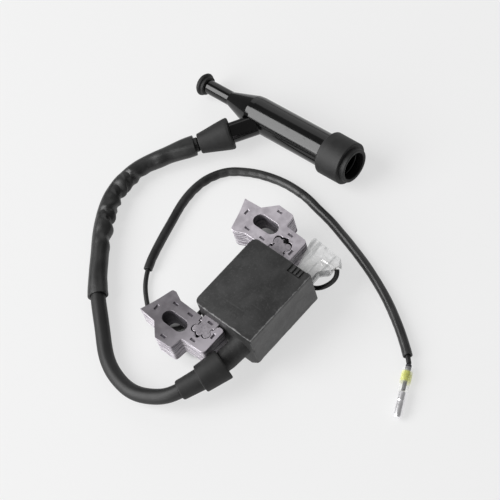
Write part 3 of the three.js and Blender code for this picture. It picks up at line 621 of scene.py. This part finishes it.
# Leads. The routes repeat the frame's own points.
htRoute = [
    (-52.3, -10.1, 9.8), (-54.9, -8.8, 9.2), (-58.1, -5.2, 7.4), (-60.9, 0.2, 5.8), (-63.4, 6.3, 4.4),
    (-64.2, 12.8, 3.9), (-62.5, 22.8, 3.8), (-58.5, 31.6, 3.8), (-52.4, 39.3, 3.9), (-46.3, 46.8, 4.2),
    (-39.5, 55.4, 4.4), (-32.5, 62.6, 4.4), (-24.4, 69.6, 4.4), (-16.2, 76.6, 4.4), (-8.2, 82.8, 4.4),
    (4.4, 89.2, 4.4), (18.4, 90.4, 4.4), (29.0, 86.5, 5.2), (40.4, 79.4, 6.7), (49.33, 73.14, 7.36),
]
killRoute = [
    (33.4, -28.4, 13.0), (33.0, -29.7, 12.4), (31.0, -30.2, 10.8), (27.9, -28.4, 8.2), (25.1, -25.9, 6.0),
    (23.2, -22.6, 4.4), (22.6, -16.0, 2.4), (23.4, -8.0, 1.4), (24.2, 0.5, 1.3), (21.8, 9.0, 1.3),
    (14.0, 13.6, 1.3), (3.0, 14.4, 1.3), (-9.0, 13.8, 1.3), (-20.0, 13.4, 1.3), (-28.6, 16.4, 1.3),
    (-32.2, 23.2, 1.3), (-31.2, 30.4, 1.3), (-27.1, 36.4, 1.3), (-22.3, 42.4, 1.4), (-17.4, 46.4, 1.8),
    (-12.4, 49.2, 2.2), (-6.4, 51.6, 2.2), (1.0, 54.0, 2.2), (9.8, 56.5, 2.2), (20.0, 59.4, 2.2),
    (29.2, 60.6, 2.2), (37.4, 59.7, 2.2), (44.2, 56.6, 2.2), (49.3, 51.9, 2.2), (55.0, 41.2, 2.2),
    (58.2, 28.9, 2.2), (58.6, 15.2, 2.2), (57.0, 6.4, 2.2), (55.2, -3.5, 2.2), (52.3, -14.2, 2.2),
    (49.0, -25.2, 2.2), (45.0, -36.6, 2.2), (39.8, -48.4, 2.2), (34.6, -58.2, 2.2), (29.0, -67.0, 2.2),
    (23.0, -75.4, 2.3), (19.6, -79.1, 2.6),
]
htLead = {"diameter": 7.0, "spacing": 1.6, "relax": 10, "inBoot": 0.9, "sleeveFrom": 79.0,
          "sleeveStop": 1.8,
          "sleeveOuter": 8.4, "sleeveInner": 7.5,
          "creases": [(110.0, 1.5, 2.2, 0.75), (119.5, 2.5, 1.8, 1.55), (127.0, -3.5, 1.4, 0.75),
                      (135.5, 1.5, 2.0, 1.65), (141.5, 4.0, 1.3, 0.9), (148.5, -3.0, 1.8, 1.0),
                      (157.0, 2.0, 3.6, 0.6)],
          "flares": [(79.0, 9.0, 0.75), (179.5, 9.0, 1.45)], "bulge": (129.0, 22.0, 0.7)}
killLead = {"diameter": 2.2, "spacing": 1.0, "relax": 16, "sleeveFrom": 140.3, "sleeveStop": 4.0,
            "sleeveOuter": 4.3, "sleeveInner": 3.0, "pinches": [(248.0, 2.2, 0.45)]}
htPath = smoothRoute(htRoute, htLead["spacing"], htLead["relax"])
killPath = smoothRoute(killRoute, killLead["spacing"], killLead["relax"])


def evenRings(start, end, step, radius):
    count = max(2, int(round((end - start) / step)))
    return [(start + (end - start) * k / count, radius) for k in range(count + 1)]


def leadRings(start, end, step, radius, lip):
    return [(start, 0), (start, radius - lip), (start + lip, radius)] + \
        evenRings(start + 2 * lip, end - 2 * lip, step, radius) + \
        [(end - lip, radius), (end, radius - lip), (end, 0)]


def sleeveRings(start, end, step, outer, inner, lip):
    body = evenRings(start + 2 * lip, end - 2 * lip, step, outer)
    bore = evenRings(start + 2 * lip, end - 2 * lip, step * 3, inner)[::-1]
    rings = [(start, inner + lip), (start, outer - lip), (start + lip, outer), *body, (end - lip, outer),
             (end, outer - lip), (end, inner + lip), (end - lip, inner), *bore, (start + lip, inner)]
    return rings + [rings[0]]


def uneven(amount, pitch, seed):
    # A lead that isn't quite round or even along its length.
    def shape(where, angle, radius, out, bend):
        wave = wobble(where / pitch + seed, math.cos(angle) * 0.8, math.sin(angle) * 0.8)
        return radius + amount * wave
    return shape


def wrinkled(outer, folds, pitch, sag, pinches=(), creases=(), flares=(), bulge=(0.0, 1.0, 0.0)):
    # Soft tube: folds gather on the inside of each bend, and it is pinched, creased or flattened in places.
    def shape(where, angle, radius, out, bend):
        if radius < outer - 0.2:
            return radius
        inside = max(0.0, float(out @ bend)) * 40
        drift = 1.3 * wobble(where / 15, 3.1, 0)
        ripple = 0.5 + 0.5 * math.sin(2 * math.pi * where / pitch + drift)
        low = wobble(where / 11, math.cos(angle), math.sin(angle))
        reach = radius - folds * min(1.2, inside) * ripple ** 2 + sag * low
        turn = float(np.linalg.norm(bend))
        toward = float(out @ bend) / turn if turn > 1e-4 else 0.0
        reach += bulge[2] * math.exp(-((where - bulge[0]) / bulge[1]) ** 4) * max(0.0, toward)
        for place, slant, width, depth in creases:
            off = (where + slant * math.sin(angle) - place) / width
            dent = math.exp(-off * off) - 0.35 * math.exp(-((abs(off) - 1.9) / 0.9) ** 2)
            reach -= depth * dent * (0.5 + 0.5 * toward) ** 1.3
        for place, width, spread in flares:
            reach += spread * math.exp(-((where - place) / width) ** 2) * (0.4 + 0.6 * math.cos(2 * angle))
        for place, width, depth in pinches:
            reach -= depth * math.exp(-((where - place) / width) ** 2) * (0.55 + 0.45 * math.cos(angle * 2))
        return reach
    return shape


htEnd = htPath.length
killEnd = killPath.length
htJacket = settle(sweep("ht_lead_jacket", htPath,
                        leadRings(-htLead["inBoot"], htEnd, 1.6, htLead["diameter"] / 2, 0.25),
                        36, uneven(0.06, 9, 1.0)), finishes["jacket"], "lead_jacket", "ht_lead")
htSleeve = settle(sweep("ht_sleeve_tube", htPath,
                        sleeveRings(htLead["sleeveFrom"], htEnd - htLead["sleeveStop"], 0.7,
                                    htLead["sleeveOuter"] / 2, htLead["sleeveInner"] / 2, 0.12), 56,
                        wrinkled(4.2, 0.15, 7.2, 0.20, creases=htLead["creases"],
                                 flares=htLead["flares"], bulge=htLead["bulge"])),
                  finishes["sleeve"], "pvc_sleeve", "ht_lead_sleeve")
killJacket = settle(sweep("kill_lead_jacket", killPath,
                          leadRings(0, killEnd, 1.0, killLead["diameter"] / 2, 0.15), 20,
                          uneven(0.03, 6, 5.0)), finishes["jacket"], "lead_jacket", "kill_lead")
killSleeve = settle(sweep("kill_sleeve_tube", killPath,
                          sleeveRings(killLead["sleeveFrom"], killEnd - killLead["sleeveStop"], 0.6,
                                      killLead["sleeveOuter"] / 2, killLead["sleeveInner"] / 2, 0.08),
                          28, wrinkled(2.15, 0.16, 5.0, 0.10, killLead["pinches"])),
                    finishes["sleeve"], "pvc_sleeve", "kill_lead_sleeve")
print("leads laid: ht %.1f mm, kill %.1f mm" % (htEnd, killEnd))


# Rubber boot on the outlet: a wide mouth on the tower, a shoulder and a narrower tail.
outletBoot = {
    "mouth": (-31.4, -18.8, 12.7), "along": (-0.955, 0.285, -0.08),
    "tail": (-43.7, -14.4, 11.6), "tailAlong": (-0.88, 0.44, -0.18),
    "bigLength": 12.4, "tailLength": 9.4,
}


def makeOutletBoot(look):
    a, b = np.array(look["mouth"]), np.array(look["tail"])
    along, tailAlong = unit(look["along"]), unit(look["tailAlong"])
    path = [a + along * d for d in np.linspace(0, 9, 7)]
    path += [b + tailAlong * d for d in np.linspace(1.0, look["tailLength"], 8)]
    route = Route(path)
    end = route.length
    big = look["bigLength"] - 0.4
    return turned("outlet_boot_rubber", route, [
        (8.4, 0.0, 0), (8.6, 5.95, 0), (0.2, 6.1, 0.1), (0.0, 6.35, 0.3), (0.0, 7.0, 0.5),
        (0.9, 7.12, 0.6), (big, 6.42, 0.5), (big + 0.35, 5.1, 0.25), (end - 0.6, 4.62, 0.4),
        (end, 4.3, 0.3), (end, 3.62, 0), (end - 1.0, 3.6, 0), (end - 1.0, 0.0, 0),
    ], 48, "rubber", "rubber", "outlet_boot", 45, uneven(0.09, 6, 11.0), 4)


makeOutletBoot(outletBoot)

# Plug cap.
capRoute = straight(cap["neckEnd"], capAlong, 100)
branchFrom = np.array(cap["neckEnd"]) + np.array(capAlong) * cap["branchAt"]
branchRoute = straight(branchFrom, cap["branch"], 40)


def makeCap(look):
    start = look["neck"] + look["cone"]
    end = start + look["barrel"]
    cavity = look["branchAt"] + 12
    neck, barrel, bore = look["neckRadius"], look["barrelRadius"], look["bore"]
    tube = sweep("plug_cap_body", capRoute, softened([
        (31.0, 0.0, 0), (31.0, 2.5, 0), (0.2, 2.5, 0.2), (0.0, 2.8, 0.2), (0.0, 3.3, 0.25), (0.4, neck, 0.3),
        (look["neck"] - 0.2, neck, 2.2), (start - 0.2, barrel - 0.25, 2.0), (start + 2.5, barrel, 2.0),
        (end - 0.4, barrel, 0.4), (end, barrel - 0.4, 0.3), (end, bore + 0.3, 0.3), (end - 0.5, bore, 0.3),
        (cavity, bore, 0.4), (cavity, 2.0, 0.2), (cavity - 1.5, 1.6, 0), (cavity - 1.5, 0.0, 0),
    ], 6), 72)
    arm = sweep("arm", branchRoute, softened([
        (4.0, 0.0, 0), (4.0, look["branchRadius"], 0), (look["branchReach"] - 0.4, look["branchRadius"], 0.4),
        (look["branchReach"], look["branchRadius"] - 0.4, 0.3), (look["branchReach"], 3.9, 0.2),
        (10.5, 3.8, 0.3), (10.5, 0.0, 0),
    ], 5), 56)
    union = tube.modifiers.new("arm", "BOOLEAN")
    union.operation, union.object, union.solver = "UNION", arm, "EXACT"
    bpy.context.view_layer.update()
    joined = bpy.data.meshes.new_from_object(tube.evaluated_get(bpy.context.evaluated_depsgraph_get()))
    tube.modifiers.clear()
    tube.data = joined
    bpy.data.objects.remove(arm)
    return settle(tube, finishes["phenolic"], "phenolic", "plug_cap", sharp=32)


capPiece = makeCap(cap)
capEnd = cap["neck"] + cap["cone"] + cap["barrel"]
sealStart = capEnd - 11.0

sealPiece = turned("plug_seal_rubber", capRoute, [
    (sealStart + 0.3, 8.45, 0), (sealStart, 8.8, 0.2), (sealStart, 10.1, 0.4), (sealStart + 0.5, 10.5, 0.4),
    (sealStart + 12.6, 10.42, 0.25), (sealStart + 12.85, 10.1, 0.1), (sealStart + 12.9, 8.5, 0.1),
    (sealStart + 15.2, 8.3, 0.2), (sealStart + 15.4, 8.0, 0.1), (sealStart + 15.4, 7.3, 0.15),
    (sealStart + 15.1, 6.7, 0.2), (capEnd + 0.4, 6.7, 0.2), (capEnd + 0.4, 8.45, 0.1),
    (sealStart + 0.3, 8.45, 0),
], 64, "seal", "rubber", "plug_seal", 42, uneven(0.07, 7, 21.0))

knobPiece = turned("neck_knob_rubber", capRoute, [
    (-5.0, 0.0, 0), (-5.0, 2.4, 0), (-4.9, 3.6, 0.4), (-4.2, 4.9, 0.7), (-3.1, 5.75, 0.8), (-2.2, 5.5, 0.5),
    (-1.7, 4.6, 0.3), (-1.3, 4.75, 0.3), (-0.5, 4.6, 0.3), (-0.3, 3.9, 0.2), (-0.3, 2.2, 0), (5.2, 2.2, 0.3),
    (5.2, 0.0, 0),
], 48, "rubber", "rubber", "neck_knob", 45)

leadBootPiece = turned("lead_boot_rubber", branchRoute, [
    (28.4, 0.0, 0), (28.4, 5.3, 0), (19.6, 5.4, 0.2), (19.2, 5.8, 0.3), (19.2, 7.3, 0.4), (19.8, 7.75, 0.4),
    (21.0, 7.7, 0.8), (24.6, 7.05, 3.0), (31.5, 5.6, 1.0), (34.9, 4.95, 0.3), (35.3, 4.6, 0.3),
    (35.3, 3.7, 0.1), (34.4, 3.6, 0), (34.4, 0.0, 0),
], 52, "rubber", "rubber", "lead_boot", 45, uneven(0.08, 7, 31.0))
print("plug cap made")


# Bullet terminal at the end of the kill lead, with its clear sleeve.
bulletRoute = straight(bullet["from"], bullet["along"], bullet["length"])


def crimpShape(where, angle, radius, out, bend):
    # Two wings folded into the wire, then a rolled body with a seam.
    if where < 5.8:
        press = math.sin(min(1, max(0, where / 5.8)) * math.pi) ** 0.3
        seam = math.exp(-((angle - math.pi) / 0.35) ** 2)
        return radius * (1 + 0.10 * math.cos(2 * angle) * press) - 0.35 * seam * press
    if where > 13.4:
        seam = math.exp(-((angle - math.pi) / 0.12) ** 2)
        return radius * (1 - 0.10 * seam)
    return radius


bulletPiece = turned("bullet_terminal_tin", bulletRoute, [
    (0.0, 0.0, 0), (0.0, 1.05, 0), (0.25, 1.3, 0.2), (2.4, 1.28, 0.2), (2.7, 1.12, 0.2), (3.0, 1.28, 0.2),
    (5.5, 1.28, 0.3), (6.4, 0.9, 0.4), (12.8, 0.88, 0.5), (13.6, 1.82, 0.6), (17.4, 1.84, 0.2),
    (17.8, 1.55, 0.2), (18.2, 1.84, 0.2), (24.3, 1.84, 0.7), (25.3, 1.4, 0.4),
    (25.5, 0.8, 0.2), (25.5, 0.0, 0),
], 40, "bullet", "tinned_brass", "bullet_terminal", 40, crimpShape)
bulletSleevePiece = turned("bullet_sleeve_clear", bulletRoute, [
    (1.9, 2.05, 0), (1.9, 2.45, 0.1), (2.2, 2.5, 0.2), (12.4, 2.46, 0.2), (12.8, 2.4, 0.1), (12.8, 2.05, 0.1),
    (1.9, 2.05, 0),
], 40, "tinted", "tinted_cover", "bullet_sleeve", 45, uneven(0.10, 4, 41.0), 4, "sliding_sleeve")
print("bullet terminal made")


# Pieces whose visible shape is the frame's own, with its edges eased.
def eased(name, node, finish, slotName, width, pieces=3, sharp=35, limit=28):
    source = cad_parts[node].data
    shape = bmesh.new()
    shape.from_mesh(source)
    bmesh.ops.remove_doubles(shape, verts=shape.verts, dist=1e-6)
    bmesh.ops.dissolve_limit(shape, angle_limit=math.radians(1.0), verts=shape.verts, edges=shape.edges)
    mesh = bpy.data.meshes.new(name)
    shape.to_mesh(mesh)
    shape.free()
    piece = bpy.data.objects.new(name, mesh)
    scene.collection.objects.link(piece)
    ease = piece.modifiers.new("eased", "BEVEL")
    ease.width, ease.segments = width * mm, pieces
    ease.limit_method, ease.angle_limit = "ANGLE", math.radians(limit)
    ease.use_clamp_overlap = True
    bpy.context.view_layer.update()
    made = bpy.data.meshes.new_from_object(piece.evaluated_get(bpy.context.evaluated_depsgraph_get()))
    piece.modifiers.clear()
    piece.data = made
    return settle(piece, finish, slotName, node, sharp=sharp)


eased("coil_body", "coil_housing", finishes["housing"], "housing_plastic", housing["eased"])
eased("flag_terminal_tin", "flag_terminal", finishes["tin"], "tinned_brass", 0.09, 2)
eased("flag_cover_clear", "flag_cover", finishes["clear"], "clear_cover", 0.24)
eased("blade_terminal_tin", "blade_terminal", finishes["tin"], "tinned_brass", 0.16, 2)
print("coil body and terminals made")


# Laminated core: every sheet is a layer of its own, read from the frame's sections.
core = {"sheets": 24, "groove": 0.05, "slip": 0.012, "edge": 0.07, "proud": 0.05, "underTop": 0.12,
        "markDepth": 0.5, "markRun": 0.55}


def sections(node, height):
    # Closed outlines of a node at a height, in millimetres.
    shape = bmesh.new()
    shape.from_mesh(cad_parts[node].data)
    bmesh.ops.remove_doubles(shape, verts=shape.verts, dist=1e-7)
    everything = shape.verts[:] + shape.edges[:] + shape.faces[:]
    cut = bmesh.ops.bisect_plane(shape, geom=everything, plane_co=(0, 0, height * mm), plane_no=(0, 0, 1))
    edges = [g for g in cut["geom_cut"] if isinstance(g, bmesh.types.BMEdge)]
    shape.verts.index_update()
    links = {}
    for edge in edges:
        a, b = (v.index for v in edge.verts)
        links.setdefault(a, []).append(b)
        links.setdefault(b, []).append(a)
    where = {v.index: np.array(v.co[:2]) / mm for v in shape.verts if v.index in links}
    shape.free()
    loops, used = [], set()
    for start in links:
        if start in used:
            continue
        loop, last, here = [start], None, start
        used.add(start)
        while True:
            onward = [n for n in links[here] if n != last and (n not in used or n == start)]
            onward = [n for n in onward if n not in used] or onward
            if not onward or onward[0] == start:
                break
            last, here = here, onward[0]
            used.add(here)
            loop.append(here)
        outline = tidyLoop(np.array([where[i] for i in loop]))
        if abs(areaOf(outline)) > 0.3:
            loops.append(outline)
    return loops


def areaOf(loop):
    x, y = loop[:, 0], loop[:, 1]
    return 0.5 * float(np.sum(x * np.roll(y, -1) - np.roll(x, -1) * y))


def tidyLoop(loop):
    # Drops points that lie on a straight run.
    keep = []
    for i in range(len(loop)):
        a, b, c = loop[i - 1], loop[i], loop[(i + 1) % len(loop)]
        u, v = b - a, c - b
        if np.linalg.norm(u) < 1e-4:
            continue
        if abs(u[0] * v[1] - u[1] * v[0]) > 2e-3 * np.linalg.norm(u) * np.linalg.norm(v):
            keep.append(b)
    return np.array(keep)


def drawnIn(loop, amount, hole):
    # Moves an outline into the metal by an amount.
    sign = 1 if areaOf(loop) > 0 else -1
    if hole:
        sign = -sign
    before, after = np.roll(loop, 1, axis=0), np.roll(loop, -1, axis=0)
    u, v = loop - before, after - loop
    u, v = u / np.linalg.norm(u, axis=1)[:, None], v / np.linalg.norm(v, axis=1)[:, None]
    normal = lambda d: np.stack([-d[:, 1], d[:, 0]], axis=1) * sign
    lean = normal(u) + normal(v)
    lean = lean * (2 / np.maximum(0.8, np.sum(lean * lean, axis=1)))[:, None]
    return loop + lean * amount


def laminated(name, node, look, finish="steel"):
    low, high = (c[2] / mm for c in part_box(node))
    middle = sections(node, (low + high) / 2 + 0.13)
    upper = sections(node, high - 0.2)
    middle.sort(key=lambda l: -abs(areaOf(l)))
    marks = [l for l in upper if abs(areaOf(l)) < 5]
    loops = [(l, i > 0) for i, l in enumerate(middle)]
    count = look["sheets"]
    thick = (high - low) / count
    levels = [(low, look["edge"], 0)]
    for i in range(count):
        out = -look["proud"] if i == count - 1 else 0.0
        levels += [(low + i * thick + 0.06, out, i), (low + (i + 1) * thick - 0.06, out, i)]
        if i < count - 1:
            levels.append((low + (i + 1) * thick, look["underTop"] if i == count - 2 else look["groove"], i))
    levels.append((high, look["edge"], count - 1))
    points, faces, rings = [], [], []
    for z, inward, sheet in levels:
        slip = [look["slip"] * wobble(sheet * 1.7, k * 9.1, len(name)) for k in (0, 1)]
        row = []
        for loop, hole in loops:
            row.append(len(points))
            for x, y in drawnIn(loop, inward, hole):
                points.append(((x + slip[0]) * mm, (y + slip[1]) * mm, z * mm))
        rings.append(row)
    for lower, higher in zip(rings, rings[1:]):
        for (loop, _), a, b in zip(loops, lower, higher):
            n = len(loop)
            faces += [(a + k, a + (k + 1) % n, b + (k + 1) % n, b + k) for k in range(n)]

    def lid(row, extra):
        outlines = [list(range(s, s + len(l))) for (l, _), s in zip(loops, row)] + extra
        flat = [i for outline in outlines for i in outline]
        filled = geometry.tessellate_polygon([[Vector((points[i][0] / mm, points[i][1] / mm, 0)) for i in o]
                                              for o in outlines])
        faces.extend(tuple(flat[i] for i in triangle) for triangle in filled)

    lid(rings[0], [])
    holes = []
    for mark in marks:
        corner = [Vector(p) for p in mark[:4]]
        centre = sum(corner, Vector((0, 0))) / 4
        first, second = corner[1] - corner[0], corner[2] - corner[1]
        along = (first if first.length > second.length else second).normalized()
        top = len(points)
        points.extend((p.x * mm, p.y * mm, high * mm) for p in corner)
        for p in corner:
            shift = -along * look["markRun"] * (1 if (p - centre).dot(along) > 0 else -1)
            points.append(((p.x + shift.x) * mm, (p.y + shift.y) * mm, (high - look["markDepth"]) * mm))
        faces += [(top + k, top + (k + 1) % 4, top + 4 + (k + 1) % 4, top + 4 + k) for k in range(4)]
        faces.append((top + 7, top + 6, top + 5, top + 4))
        holes.append([top, top + 1, top + 2, top + 3])
    lid(rings[-1], holes)
    return settle(newPiece(name, points, faces), finishes[finish], "laminated_steel", node, sharp=17)


laminated("leg_sheets_terminal_side", "core_leg_terminal_side", core)
laminated("leg_sheets_ht_side", "core_leg_ht_side", core, "oxidised")
laminated("limb_sheets", "core_limb", core, "limb")
print("core sheets made")


# Cast resin that fills the open back and creeps over its rim.
resin = {"half": 19.75, "back": -27.25, "top": 25.05, "bevelTop": 5.6, "bevelRun": 5.2, "low": 0.5,
         "wall": 1.6, "step": 0.5, "proud": 0.14, "ragged": 0.35, "deep": 3.6}


def makeResin(look):
    heights = list(np.arange(look["top"], look["bevelTop"], -look["step"]))
    bevel = list(np.linspace(look["bevelTop"], look["low"], 12))
    column = [(look["back"], z, (-1.0, 0.0)) for z in heights]
    slope = look["bevelRun"] / look["bevelTop"]
    lean = Vector((-1.0, -slope)).normalized()
    column += [(look["back"] + (look["bevelTop"] - z) * slope, z, tuple(lean)) for z in bevel]
    across = np.linspace(-look["half"], look["half"], int(2 * look["half"] / look["step"]) + 1)
    front, rear = [], []
    rows, columns = len(column), len(across)
    for i, (y, z, (ny, nz)) in enumerate(column):
        for j, x in enumerate(across):
            edge = min(look["half"] - abs(x), look["top"] - z, z - look["low"])
            wave = wobble(x / 7, z / 7, 3.3) * 0.10
            wave += wobble(x / 2, z / 2, 9.0) * 0.04
            inside = min(1.0, max(0.0, (edge - look["wall"]) / 1.2))
            rise = look["proud"] * (1 - 0.5 * inside) + wave * inside + 0.05
            px, pz = x, z
            if i == 0:
                pz = z + look["ragged"] * wobble(x / 1.3, 0.0, 5.0)
            if j in (0, columns - 1):
                px = x + look["ragged"] * 0.6 * wobble(z / 1.4, x, 7.0)
            if edge < 0.01:
                rise = 0.03
            front.append((px * mm, (y + ny * rise) * mm, (pz + nz * rise) * mm))
            depth = 0.01 if edge < look["wall"] + 0.3 else look["deep"]
            if z < look["bevelTop"] + 1:
                depth = min(depth, 1.2)
            rear.append((px * mm, (y - ny * depth) * mm, (pz - nz * depth * 0.4) * mm))
    points = front + rear
    base = len(front)
    faces = []
    for i in range(rows - 1):
        for j in range(columns - 1):
            a, d = i * columns + j, (i + 1) * columns + j
            b, c = a + 1, d + 1
            faces += [(a, d, c, b), (a + base, b + base, c + base, d + base)]
    ring = [j for j in range(columns)] + [i * columns + columns - 1 for i in range(1, rows)]
    ring += [(rows - 1) * columns + j for j in range(columns - 2, -1, -1)]
    ring += [i * columns for i in range(rows - 2, 0, -1)]
    for k in range(len(ring)):
        a, b = ring[k], ring[(k + 1) % len(ring)]
        faces.append((a, b, b + base, a + base))
    piece = newPiece("potting_resin_cast", points, faces)
    return settle(piece, finishes["resin"], "resin", "potting_resin", sharp=50)


makeResin(resin)
print("resin cast")

# Inner pieces keep the frame's shapes.
innerFinishes = {
    "primary_bobbin": "bobbin", "secondary_bobbin": "bobbin", "primary_winding": "copper",
    "secondary_winding": "copper", "control_board": "board", "power_transistor": "package",
    "trigger_capacitor": "ceramic", "ht_contact_pin": "brass", "lead_screw": "brass",
    "suppressor_resistor": "ceramic", "contact_spring": "spring", "contact_rod": "brass",
    "plug_terminal": "brass",
}
for node, finish in innerFinishes.items():
    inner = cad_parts[node]
    inner.data.materials.clear()
    inner.data.materials.append(finishes[finish])
print("inner pieces finished:", len(innerFinishes))

# Floor and lights.
studio = {
    "floorTone": 0.22, "floorGlow": 0.62, "floorHalf": 4.0, "world": 0.22,
    "shade": [(-27.5, 14.5, 6.0, 11.0), (33.5, 14.5, 6.0, 11.0), (-26.0, 4.0, 5.0, 10.0),
              (31.5, 4.0, 6.0, 11.0)],  # painted shadow: dims the glow under the legs
    "fill": {"toward": (0.75, 0.45, 0.48), "reach": 1.6, "size": (1.5, 1.3), "power": 4.5},
    "key": {"toward": (-0.576, 0.522, 0.644), "reach": 2.2, "size": (2.1, 1.4), "power": 62.0},
    "side": {"toward": (-0.95, 0.05, 0.28), "reach": 1.6, "size": (1.4, 0.5), "power": 11.0},
}


def makeFloor(look):
    paint = Finish("pale_floor", Roughness=0.9)
    cloud = paint.grain(2, 2)
    tone = look["floorTone"]
    x, y, _ = paint.axes()
    glow = None
    # painted shadow: the glow is dimmed in spots under the legs
    for placeX, placeY, inner, outer in look["shade"]:
        lit = paint.step(paint.away(x - placeX * mm, y - placeY * mm), inner * mm, outer * mm, 0.03, 1.0)
        glow = lit if glow is None else glow * lit
    paint.drive(Base_Color=paint.mix(cloud, (tone, tone, tone), (tone * 1.01,) * 3),
                Emission_Color=paint.mix(glow, (0, 0, 0), (1, 1, 1)))
    paint.shader.inputs["Emission Strength"].default_value = look["floorGlow"]
    half = look["floorHalf"]
    corners = [(-half, -half), (half, -half), (half, half), (-half, half)]
    floor = newPiece("floor", [(*corner, -0.0001) for corner in corners], [(0, 1, 2, 3)])
    floor.data.materials.append(paint.material)


def makeLight(name, look, across):
    data = bpy.data.lights.new(name, "AREA")
    data.shape, data.energy = "RECTANGLE", look["power"]
    data.size, data.size_y = look["size"]
    light = bpy.data.objects.new(name, data)
    scene.collection.objects.link(light)
    back = Vector(look["toward"]).normalized()
    up = back.cross(Vector(across)).normalized()
    turn = Matrix((up.cross(back), up, back)).transposed().to_4x4()
    light.matrix_world = Matrix.Translation(back * look["reach"]) @ turn


makeFloor(studio)
makeLight("key_softbox", studio["key"], (1, 0, 0))
makeLight("side_softbox", studio["side"], (0, 1, 0))
makeLight("fill_softbox", studio["fill"], (0, 1, 0))
world = bpy.data.worlds.new("studio")
scene.world = world
world.use_nodes = True
world.node_tree.nodes["Background"].inputs["Color"].default_value = (1, 1, 1, 1)
world.node_tree.nodes["Background"].inputs["Strength"].default_value = studio["world"]
scene.view_settings.view_transform = "Standard"
print("studio ready")
